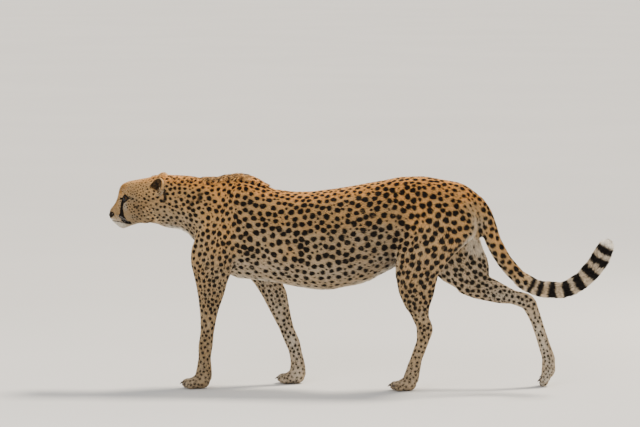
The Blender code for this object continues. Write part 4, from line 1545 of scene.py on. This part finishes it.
    def build(self) -> None:
        """Grows the coat, piece by piece, and then the longer hair."""
        surface = self.surface
        material = CoatFinish().material()
        weight = self.thickness(surface.middles, surface.guides[:, 3][surface.faces].mean(1))
        home = self.regions(surface.middles)
        for index, (region, count) in enumerate(zip(Region, self.counts, strict=True)):
            rng = np.random.default_rng(100 + index)
            roots = surface.scatter(weight * (home == index), count, rng)
            self.finish(f"coat_{region.value}", [self.piece(region, roots, rng)], material)
        rng = np.random.default_rng(300)
        front, rear = [], []
        for fringe in self.fringes:
            for sign in (1, -1) if fringe.mirrored else (1,):
                line = HEAD.lean(np.array(fringe.points) / 1000 * (1, sign, 1))
                near = fall(to_line(surface.middles, line)[0], fringe.reach / 1000)
                roots = surface.scatter(near * (weight > 0), fringe.count, rng)
                x = line[:, 0].mean()
                region = Region.HEAD if x < -0.66 else Region.TAIL if x > 0.45 else Region.TRUNK_REAR
                (front if x < -0.3 else rear).append(self.piece(region, roots, rng, fringe))
        self.finish("coat_fringe_front", front, material)
        self.finish("coat_fringe_rear", rear, material)


class Nodes:
    """A material's nodes, added and linked in short calls."""

    def __init__(self, name: str) -> None:
        """Makes an empty material with a Principled shader.

        Args:
            name: the material's name.
        """
        self.material = bpy.data.materials.new(name)
        self.material.use_nodes = True
        self.tree = self.material.node_tree
        self.shader = self.tree.nodes["Principled BSDF"]

    def feed(self, socket: Socket, value: Socket | Point | float) -> None:
        """Links a socket to another, or sets its number or colour.

        Args:
            socket: the socket.
            value: what it takes.
        """
        if isinstance(value, Socket):
            self.tree.links.new(value, socket)
        else:
            socket.default_value = (*value, 1) if socket.type == "RGBA" else value

    def add(self, kind: str, inputs: dict, output: int | str = 0, **settings: object) -> Socket:
        """A new node.

        Args:
            kind: its type, without the ShaderNode prefix.
            inputs: what its inputs take.
            output: which output is wanted.
            settings: its settings by name.

        Returns:
            That output.
        """
        node = self.tree.nodes.new(f"ShaderNode{kind}")
        for name, value in settings.items():
            setattr(node, name, value)
        for key, value in inputs.items():
            self.feed(node.inputs[key], value)
        return node.outputs[output]

    def value(self, name: str, output: str = "Fac") -> Socket:
        """A number, or another output, of an attribute of the mesh."""
        return self.add("Attribute", {}, output, attribute_type="GEOMETRY", attribute_name=name)

    def ramp(self, source: Socket, *stops: tuple[float, Point]) -> Socket:
        """A colour ramp.

        Args:
            source: what drives it.
            stops: places and colours.

        Returns:
            Its colour.
        """
        colour = self.add("ValToRGB", {0: source})
        elements = colour.node.color_ramp.elements
        while len(elements) < len(stops):
            elements.new(0.5)
        for element, (at, shade) in zip(elements, stops, strict=True):
            element.position = at
            element.color = (*shade, 1)
        return colour

    def math(self, operation: str, *values: Socket | float, clamp: bool = False) -> Socket:
        """A sum of two or three values."""
        return self.add("Math", dict(enumerate(values)), operation=operation, use_clamp=clamp)

    def mix(self, share: float | Socket, a: Socket, b: Socket | Point, blend: str = "MULTIPLY") -> Socket:
        """Two colours mixed."""
        return self.add("Mix", {0: share, 6: a, 7: b}, 2, data_type="RGBA", blend_type=blend)

    def noise(self, scale: float, detail: float, stretch: Point = (1, 1, 1)) -> Socket:
        """A noise in the object's own space, of a scale and a number of layers."""
        place = self.add("Mapping", {0: self.add("TexCoord", {}, "Object"), 3: stretch})
        return self.add("TexNoise", {"Scale": scale, "Detail": detail, "Vector": place}, "Fac")

    def bump(self, height: Socket, strength: float, depth: float) -> None:
        """Bumps the shader's surface by a height."""
        bumped = self.add("Bump", {"Strength": strength, "Distance": depth, "Height": height})
        self.feed(self.shader.inputs["Normal"], bumped)

    def settle(self, **values: object) -> Material:
        """Feeds the shader.

        Args:
            values: what its inputs take, with underscores for spaces in their names.

        Returns:
            The material.
        """
        for name, value in values.items():
            self.feed(self.shader.inputs[name.replace("_", " ")], value)
        return self.material


@dataclass(frozen=True)
class Pelage:
    """The colours that the skin and the tufts share."""

    white: Point = (0.80, 0.76, 0.68)
    cream: Point = (0.66, 0.55, 0.41)
    buff: Point = (0.57, 0.420, 0.250)
    tawny: Point = (0.67, 0.415, 0.180)
    gold: Point = (0.90, 0.445, 0.125)
    black: Point = (0.0085, 0.0062, 0.0050)

    def colour(self, nodes: Nodes, mottle: Socket) -> Socket:
        """The coat's colour from the marks on the mesh.

        Args:
            nodes: the material's nodes.
            mottle: a noise that unsettles the tone.

        Returns:
            The colour.
        """
        shift = nodes.math("MULTIPLY", nodes.math("SUBTRACT", mottle, 0.5), 0.16)
        tone = nodes.math("ADD", nodes.value("tone"), shift)
        stops = zip((0.0, 0.22, 0.50, 0.72, 1.0), (self.white, self.cream, self.buff, self.tawny, self.gold))
        return nodes.mix(nodes.value("dark"), nodes.ramp(tone, *stops), self.black, "MIX")


@dataclass(frozen=True)
class SkinFinish:
    """Short flat hair over the skin, as fine bump."""

    roughness: float = 0.72

    def material(self) -> Material:
        """Builds the finish.

        Returns:
            The material.
        """
        nodes = Nodes("skin_coat")
        colour = Pelage().colour(nodes, nodes.noise(55, 3))
        fine = nodes.noise(900, 4, (0.35, 1, 1))
        shaded = nodes.mix(0.45, colour, nodes.ramp(fine, (0.3, (0.55, 0.50, 0.46)), (0.7, (1.1, 1.05, 1.0))))
        nodes.bump(fine, 0.5, 0.0009)
        return nodes.settle(Base_Color=shaded, Roughness=self.roughness, Specular_IOR_Level=0.14)


@dataclass(frozen=True)
class CoatFinish:
    """Tufts with painted shade toward the root, which vary from one to the next."""

    roughness: float = 0.60

    def material(self) -> Material:
        """Builds the finish.

        Returns:
            The material.
        """
        nodes = Nodes("coat_tufts")
        colour = Pelage().colour(nodes, nodes.noise(70, 3))
        # Darker toward the root: painted shade deep in the coat, where the tufts lie over each other.
        light = nodes.ramp(nodes.value("along"), (0.0, (0.62, 0.58, 0.55)), (0.55, (1.0, 1.0, 1.0)))
        root_shaded = nodes.mix(1.0, colour, light)
        shade = nodes.math("MULTIPLY_ADD", nodes.value("shade"), 0.22, 0.5)
        vary = nodes.ramp(shade, (0.0, (0.62, 0.59, 0.56)), (0.5, (1.0, 1.0, 1.0)), (1.0, (1.38, 1.34, 1.26)))
        varied = nodes.mix(1.0, root_shaded, vary)
        nodes.bump(nodes.noise(1600, 2), 0.25, 0.0004)
        return nodes.settle(Base_Color=varied, Roughness=self.roughness, Specular_IOR_Level=0.14,
                            Sheen_Weight=0.02, Sheen_Roughness=0.5)


@dataclass(frozen=True)
class EyeFinish:
    """An amber iris round a black pupil, under a wet cornea, with the amber kept dim as painted shade from the brow.
    Angles are in radians from the gaze.
    """

    pupil: float = 0.34
    iris: float = 0.66
    widest: float = 1.6

    def material(self) -> Material:
        """Builds the finish.

        Returns:
            The material.
        """
        nodes = Nodes("eye")
        angle = nodes.math("DIVIDE", nodes.value("from_gaze"), self.widest)
        p, i = self.pupil / self.widest, self.iris / self.widest
        # The iris's amber is dimmed: painted shade from the brow over the eye.
        base = nodes.ramp(
            angle, (p - 0.012, (0.004, 0.004, 0.004)), (p + 0.012, (0.045, 0.020, 0.006)),
            ((p + i) / 2, (0.11, 0.050, 0.012)), (i - 0.03, (0.07, 0.032, 0.008)),
            (i + 0.006, (0.008, 0.006, 0.005)), (i + 0.10, (0.03, 0.02, 0.015)),
        )
        around = nodes.value("iris_at", "Vector")
        fibres = nodes.add("TexNoise", {"Scale": 9.0, "Vector": around}, "Fac")
        streak = nodes.ramp(fibres, (0.3, (0.55, 0.50, 0.45)), (0.7, (1.2, 1.15, 1.1)))
        return nodes.settle(Base_Color=nodes.mix(0.8, base, streak), Roughness=0.10, Coat_Weight=0.12,
                            Coat_Roughness=0.02, Specular_IOR_Level=0.12)


@dataclass(frozen=True)
class WetBlack:
    """Black pebbled leather, damp where it is worn."""

    name: str
    colour: Point = (0.012, 0.010, 0.010)
    roughness: float = 0.38
    gloss: float = 0.5

    def material(self) -> Material:
        """Builds the finish.

        Returns:
            The material.
        """
        nodes = Nodes(self.name)
        pale = tuple(min(1.0, c * 2.6 + 0.01) for c in self.colour)
        tint = nodes.ramp(nodes.noise(160, 3), (0.4, self.colour), (0.75, pale))
        nodes.bump(nodes.noise(1100, 3), 0.7, 0.0005)
        low, high = (self.roughness,) * 3, (self.roughness + 0.2,) * 3
        rough = nodes.ramp(nodes.noise(90, 2), (0.3, low), (0.8, high))
        return nodes.settle(Base_Color=tint, Roughness=rough, Specular_IOR_Level=self.gloss)


@dataclass(frozen=True)
class Horn:
    """Streaked horn: dark at the root, paler to the tip."""

    name: str
    dark: Point
    pale: Point
    roughness: float = 0.35

    def material(self) -> Material:
        """Builds the finish.

        Returns:
            The material.
        """
        nodes = Nodes(self.name)
        streak = nodes.math("MULTIPLY_ADD", nodes.noise(240, 3, (1, 4, 4)), 0.35, -0.17)
        tone = nodes.math("ADD", nodes.value("along"), streak, clamp=True)
        tint = nodes.ramp(tone, (0.0, self.dark), (1.0, self.pale))
        nodes.bump(nodes.noise(700, 2, (0.3, 1, 1)), 0.3, 0.0003)
        return nodes.settle(Base_Color=tint, Roughness=self.roughness, Specular_IOR_Level=0.5)


@dataclass
class Eye:
    """One eyeball and the wet rim of its lids."""

    opening: EyeOpening
    rim_width: float = 0.0016
    rim_height: float = 0.0009
    rim_lift: float = 0.0006
    cornea: float = 0.0007
    around: int = 72
    across: int = 12

    def ball(self, name: str, material: Material) -> None:
        """Models the eyeball, with the cornea's bulge.

        Args:
            name: the piece's name.
            material: its material.
        """
        add = bpy.ops.mesh.primitive_uv_sphere_add
        item = primitive(add, name, segments=96, ring_count=64, radius=HEAD.eye_radius)
        local = coordinates(item)
        centre, ahead, outward, up = self.opening.axes()
        ways = unit(local)
        angle = np.arccos(np.clip(ways[:, 2], -1, 1))
        grown = ways * (HEAD.eye_radius + self.cornea * fall(angle, 0.80))[:, None]
        if self.opening.side is Side.RIGHT:
            item.data.flip_normals()
        put(item, HEAD.lean(centre + grown[:, :1] * outward + grown[:, 1:2] * up + grown[:, 2:] * ahead))
        turn = np.arctan2(local[:, 1], local[:, 0])
        mark(item, "from_gaze", angle)
        mark(item, "iris_at", np.stack([np.cos(turn) * 2, np.sin(turn) * 2, angle * 0.6], 1))
        settled(item, material, Slot.EYE, name.replace("eyeball", "eye"))

    def rim(self, name: str, material: Material) -> None:
        """Models the dark rim of the lids from a ring.

        Args:
            name: the piece's name.
            material: its material.
        """
        item = primitive(bpy.ops.mesh.primitive_torus_add, name, major_segments=self.around,
                         minor_segments=self.across, major_radius=1, minor_radius=0.1)
        ring = np.repeat(np.arange(self.around), self.across)
        turn = np.tile(np.linspace(0, TURN, self.across, endpoint=False), self.around)
        ways = self.opening.rim(self.around)
        line = self.opening.axes()[0] + ways * (HEAD.eye_radius + self.rim_lift)
        side = np.cross(unit(np.roll(line, -1, axis=0) - np.roll(line, 1, axis=0)), ways)
        width = self.rim_width * np.cos(turn)[:, None]
        height = self.rim_height * np.sin(turn)[:, None]
        put(item, HEAD.lean(line[ring] + side[ring] * width + ways[ring] * height))
        face_outward(item)
        settled(item, material, Slot.NOSE)


@dataclass(frozen=True)
class NoseLeather:
    """The nose's leather, with its nostrils and the groove below it. The mask is how far its black spreads."""

    offset: Point = (0.0080, 0, -0.0088)
    half_sizes: Point = (0.0196, 0.0172, 0.0140)
    mask: Point = (1.50, 1.30, 1.20)
    nostril_depth: float = 0.0042

    def middle(self) -> Array:
        """The leather's middle on the upright head."""
        return HEAD.level(box_middle("nose")[None])[0] * (1, 0, 1) + self.offset

    def sizes_away(self, at: Array, grown: Point = (1, 1, 1)) -> Array:
        """How many of its own half-sizes, or of grown ones, places lie from its middle."""
        return far((at - self.middle()) / (np.array(self.half_sizes) * grown))

    def build(self, material: Material) -> None:
        """Models the leather from a sphere.

        Args:
            material: its material.
        """
        add = bpy.ops.mesh.primitive_uv_sphere_add
        item = primitive(add, "nose_leather", segments=96, ring_count=72, radius=1.0)
        edited(item, lambda: bpy.ops.transform.resize(value=(1.0, 1.0, 0.92)))
        x, y, z = unit(coordinates(item)).T
        shaped = np.stack([x, y * (0.74 + 0.30 * ease((z + 0.7) / 1.3)), z], 1)
        shaped[:, 0] += 0.10 * z * (x < 0) + 0.16 * y**2
        for sign in BOTH_SIDES:
            pit = np.hypot((y * sign - 0.50) / 0.27, (z + 0.08) / 0.30)
            slit = np.hypot((y * sign - 0.80) / 0.26, (z - 0.10) / 0.13)
            deep = np.maximum(fall(pit, 1.0), 0.6 * fall(slit, 1.0)) * (x < 0.2)
            wing = fall(np.hypot((y * sign - 0.66) / 0.36, (z - 0.26) / 0.24), 1.0) * (x < 0.3)
            shaped[:, 0] += deep * self.nostril_depth / self.half_sizes[0] - 0.10 * wing
            shaped[:, 1] += sign * 0.06 * wing - sign * 0.10 * deep
        shaped[:, 0] += 0.13 * (fall(y / 0.12, 1.0) * ease((0.25 - z) / 0.4) * (x < 0))
        put(item, HEAD.lean(self.middle() + shaped * self.half_sizes))
        settled(item, material, Slot.NOSE, "nose")


@dataclass(frozen=True)
class Paw:
    """A paw as it is set down: its middle, heading and dip in degrees, and its size."""

    at: Point
    turn: float
    dip: float
    size: float


@dataclass
class Claws:
    """The blunt, never fully sheathed claws, four to a paw."""

    forward: tuple[float, ...] = (0.026, 0.038, 0.038, 0.026)
    across: tuple[float, ...] = (-0.025, -0.009, 0.009, 0.025)
    toe_radii: Pair = (0.0230, 0.0165)
    length: float = 0.0135
    radius: float = 0.0033
    sink: float = 0.007
    arch: float = 0.0022
    paws: tuple[Paw, ...] = (
        Paw((-0.530, -0.076, 0.022), 2, 0, 1.00), Paw((-0.226, 0.075, 0.022), -2, 0, 1.00),
        Paw((0.162, -0.072, 0.021), 2, 0, 0.95), Paw((0.6260, 0.078, 0.052), 0, 62, 0.95),
    )

    def lines(self) -> list[Array]:
        """Finds where the claws go.

        Returns:
            The two ends of each claw, in the frame.
        """
        found = []
        for paw in self.paws:
            dip = math.radians(paw.dip)
            reach = math.hypot(self.toe_radii[0] * math.cos(dip), self.toe_radii[1] * math.sin(dip)) - self.sink
            turn, size = Matrix.Rotation(math.radians(paw.turn), 4, "Z"), Matrix.Scale(paw.size, 4)
            place = Matrix.Translation(paw.at) @ turn @ Matrix.Rotation(-dip, 4, "Y") @ size
            for forward, across in zip(self.forward, self.across, strict=True):
                toe = place @ Vector((-forward, across, -0.005))
                tips = [Vector((-reach - self.length * s, 0, 0.003 - 0.0065 * s)) for s in (0, 1)]
                found.append(np.array([SHIFT + np.array(toe + turn @ size @ tip) for tip in tips]))
        return found

    def build(self, material: Material) -> None:
        """Models one claw from a cone, and copies it to every toe.

        Args:
            material: the claws' material.
        """
        first = primitive(bpy.ops.mesh.primitive_cone_add, "claw", vertices=14, radius1=1.0, radius2=0.16,
                          depth=1.0, location=(0, 0, 0.5))
        alone(first)
        bpy.ops.object.transform_apply(location=True, rotation=True, scale=True)
        edited(first, lambda: bpy.ops.mesh.subdivide(number_cuts=5))
        x, y, share = coordinates(first).T
        taper = 1 - 0.25 * share**2
        for index, (start, end) in enumerate(self.lines()):
            item = first.copy()
            item.data = first.data.copy()
            item.name = item.data.name = f"claw_{index + 1}"
            bpy.context.scene.collection.objects.link(item)
            way = unit(end - start)
            side = unit(np.cross(way, [0, 0, 1]))
            points = (
                start
                + way * (share * self.length)[:, None]
                + side * (x * self.radius * taper)[:, None]
                + np.cross(side, way) * (y * self.radius * 1.25 * taper + self.arch * np.sin(share * math.pi))[:, None]
            )
            points[:, 2] = np.maximum(points[:, 2], FLOOR_GAP)
            put(item, points)
            face_outward(item)
            mark(item, "along", share)
            settled(item, material, Slot.CLAW)
        bpy.data.objects.remove(first)


@dataclass
class Whiskers:
    """Stiff pale whiskers in rows on the pads, and a few over the eyes. A row is its X, its Z and its count."""

    skin: Skin
    rows: tuple[tuple[float, float, int], ...] = ((-0.829, 0.5790, 4), (-0.827, 0.5725, 5), (-0.824, 0.5660, 4))
    step: float = 0.0062
    brow: tuple[float, float, int] = (-0.800, 0.658, 4)
    length: float = 0.066
    brow_length: float = 0.030
    radius: float = 0.00034
    joints: int = 9

    def strand(self, root: Array, way: Array, length: float, drop: float) -> Array:
        """The centre points of a whisker on the upright head, by its root, its way, its length and its hang."""
        share = np.linspace(-0.03, 1, self.joints)[:, None]
        return root + unit(way) * length * share + np.array([0.35, 0, -1]) * drop * share**2

    def build(self, material: Material) -> None:
        """Lays whiskers on the pads and over the eyes.

        Args:
            material: the whiskers' material.
        """
        rng = np.random.default_rng(77)
        for side in Side:
            lines, sign = [], side.value
            for row, (x0, z0, count) in enumerate(self.rows):
                for k in range(count):
                    root = self.skin.on_side(x0 + self.step * k, z0 - 0.0006 * k, sign)
                    way = np.array([0.10 + 0.16 * k, sign * (1.0 - 0.05 * k), 0.10 - 0.14 * row])
                    way += rng.normal(0, 0.05, 3)
                    lines.append(self.strand(root, way, self.length * rng.uniform(0.62, 1.0), 0.010))
            x0, z0, count = self.brow
            for k in range(count):
                root = self.skin.on_side(x0 + 0.007 * k, z0 + 0.001 * k, sign)
                lines.append(self.strand(root, np.array([0.2 + 0.1 * k, sign * 0.7, 0.75]), self.brow_length, 0.002))
            self.lay(f"whiskers_{side.name.lower()}", lines, material)

    def model(self) -> tuple[Array, Array]:
        """Models one straight whisker along Z, one unit long and wide, from a cone with cuts.

        Returns:
            Its places and its triangles.
        """
        add = bpy.ops.mesh.primitive_cone_add
        item = primitive(add, "whisker", vertices=6, radius1=1.0, radius2=0.14, depth=1.0)
        heights = np.linspace(-0.5, 0.5, self.joints)[1:-1]
        edited(item, *(partial(bpy.ops.mesh.bisect, plane_co=(0, 0, float(z)), plane_no=(0, 0, 1)) for z in heights))
        applied(item, "TRIANGULATE")
        found = coordinates(item) + (0, 0, 0.5), triangles(item)
        bpy.data.objects.remove(item)
        return found

    def lay(self, name: str, lines: list[Array], material: Material) -> None:
        """Bends a copy of the modelled whisker along each line, all as one piece.

        Args:
            name: the piece's name.
            lines: the whiskers' centre points.
            material: their material.
        """
        straight, faces = self.model()
        points = []
        for line in lines:
            ways = unit(np.gradient(line, axis=0))
            side = unit(np.cross(ways, [0.1, 0.2, 1.0]))
            frames = np.concatenate([line, side, np.cross(side, ways)], 1)
            at = straight[:, 2] * (len(line) - 1)
            here = np.stack([np.interp(at, np.arange(len(line)), column) for column in frames.T], 1)
            wide = straight[:, :2] * self.radius
            points.append(here[:, :3] + here[:, 3:6] * wide[:, :1] + here[:, 6:] * wide[:, 1:])
        starts = np.arange(len(lines))[:, None, None] * len(straight)
        item = mesh_object(name, HEAD.lean(np.concatenate(points)), (starts + faces[None]).reshape(-1, 3))
        face_outward(item)
        mark(item, "along", np.tile(straight[:, 2], len(lines)))
        settled(item, material, Slot.WHISKER)


@dataclass
class Studio:
    """A pale floor, soft lights and the camera, which looks at its target from two angles in degrees."""

    azimuth: float = 5.0
    elevation: float = 5.0
    lens: float = 200.0
    distance: float = 11.85
    target: tuple[float, float, float] = (-0.133, 0.0, 0.5817)
    floor_half: float = 120.0
    sun: float = 4.6
    sky: float = 0.56

    def floor(self) -> None:
        """Lays the floor."""
        item = primitive(bpy.ops.mesh.primitive_plane_add, "floor", size=2 * self.floor_half)
        nodes = Nodes("floor")
        tint = nodes.ramp(nodes.noise(0.6, 2), (0.3, (0.78, 0.77, 0.75)), (0.7, (0.81, 0.80, 0.78)))
        item.data.materials.append(nodes.settle(Base_Color=tint, Roughness=0.9, Specular_IOR_Level=0.1))

    @staticmethod
    def stand(data: bpy.types.Light | bpy.types.Camera, at: Point | Vector, way: Vector) -> Item:
        """Puts a light or the camera in the scene.

        Args:
            data: the light or the camera.
            at: where it stands.
            way: which way it looks.

        Returns:
            The object.
        """
        item = bpy.data.objects.new(data.name, data)
        bpy.context.scene.collection.objects.link(item)
        item.location = at
        item.rotation_euler = way.to_track_quat("-Z", "Y").to_euler()
        return item

    def lights(self) -> None:
        """Adds two soft lights that look at the animal, and a broad warm one from above and behind."""
        key = bpy.data.lights.new("key", "SUN")
        key.energy, key.angle, key.color = self.sun, math.radians(14), (1.0, 0.90, 0.76)
        self.stand(key, (0, 0, 0), Vector((-0.42, -0.36, -0.83)))
        for name, at, size, power, colour in (
            ("fill", (-1.6, -4.6, 2.6), 3.5, 135, (1.0, 0.98, 0.96)),
            ("rim", (3.0, 2.2, 1.8), 1.6, 90, (1.0, 0.88, 0.70)),
        ):
            soft = bpy.data.lights.new(name, "AREA")
            soft.shape, soft.size, soft.energy, soft.color = "DISK", size, power, colour
            item = self.stand(soft, at, Vector((0, 0, 0.45)) - Vector(at))
            item.visible_camera = item.visible_glossy = False

    def camera(self) -> None:
        """Sets the camera up."""
        a, e = math.radians(self.azimuth), math.radians(self.elevation)
        back = Vector((math.sin(a) * math.cos(e), -math.cos(a) * math.cos(e), math.sin(e)))
        data = bpy.data.cameras.new("camera")
        data.lens, data.sensor_width, data.clip_end = self.lens, 36.0, 400.0
        bpy.context.scene.camera = self.stand(data, Vector(self.target) + back * self.distance, -back)

    def build(self) -> None:
        """Sets the whole studio up."""
        self.floor()
        self.lights()
        world = bpy.data.worlds.new("studio")
        world.use_nodes = True
        background = world.node_tree.nodes["Background"]
        background.inputs[0].default_value = (0.92, 0.93, 0.95, 1)
        background.inputs[1].default_value = self.sky
        bpy.context.scene.world = world
        self.camera()


GUIDES = CoatGuides()
NOSE = NoseLeather()


def main() -> None:
    """Builds the studio and the animal; each piece's face count is logged as it is finished."""
    Studio().build()
    skin = Skin()
    skin.build()
    surface = Surface(skin)
    markings = Markings(surface)
    skin.dress(markings)
    eye_finish = EyeFinish().material()
    rim_finish = WetBlack("lid_rim", colour=(0.006, 0.005, 0.005), roughness=0.5, gloss=0.15).material()
    for opening in OPENINGS:
        side = opening.side.name.lower()
        Eye(opening).ball(f"eyeball_{side}", eye_finish)
        Eye(opening).rim(f"lid_rim_{side}", rim_finish)
    NOSE.build(WetBlack("nose_leather").material())
    Claws().build(Horn("claw", (0.03, 0.022, 0.018), (0.16, 0.12, 0.09)).material())
    Whiskers(skin).build(Horn("whisker", (0.55, 0.50, 0.44), (0.85, 0.82, 0.78), 0.45).material())
    Coat(surface, markings).build()


if __name__ == "__main__":
    main()
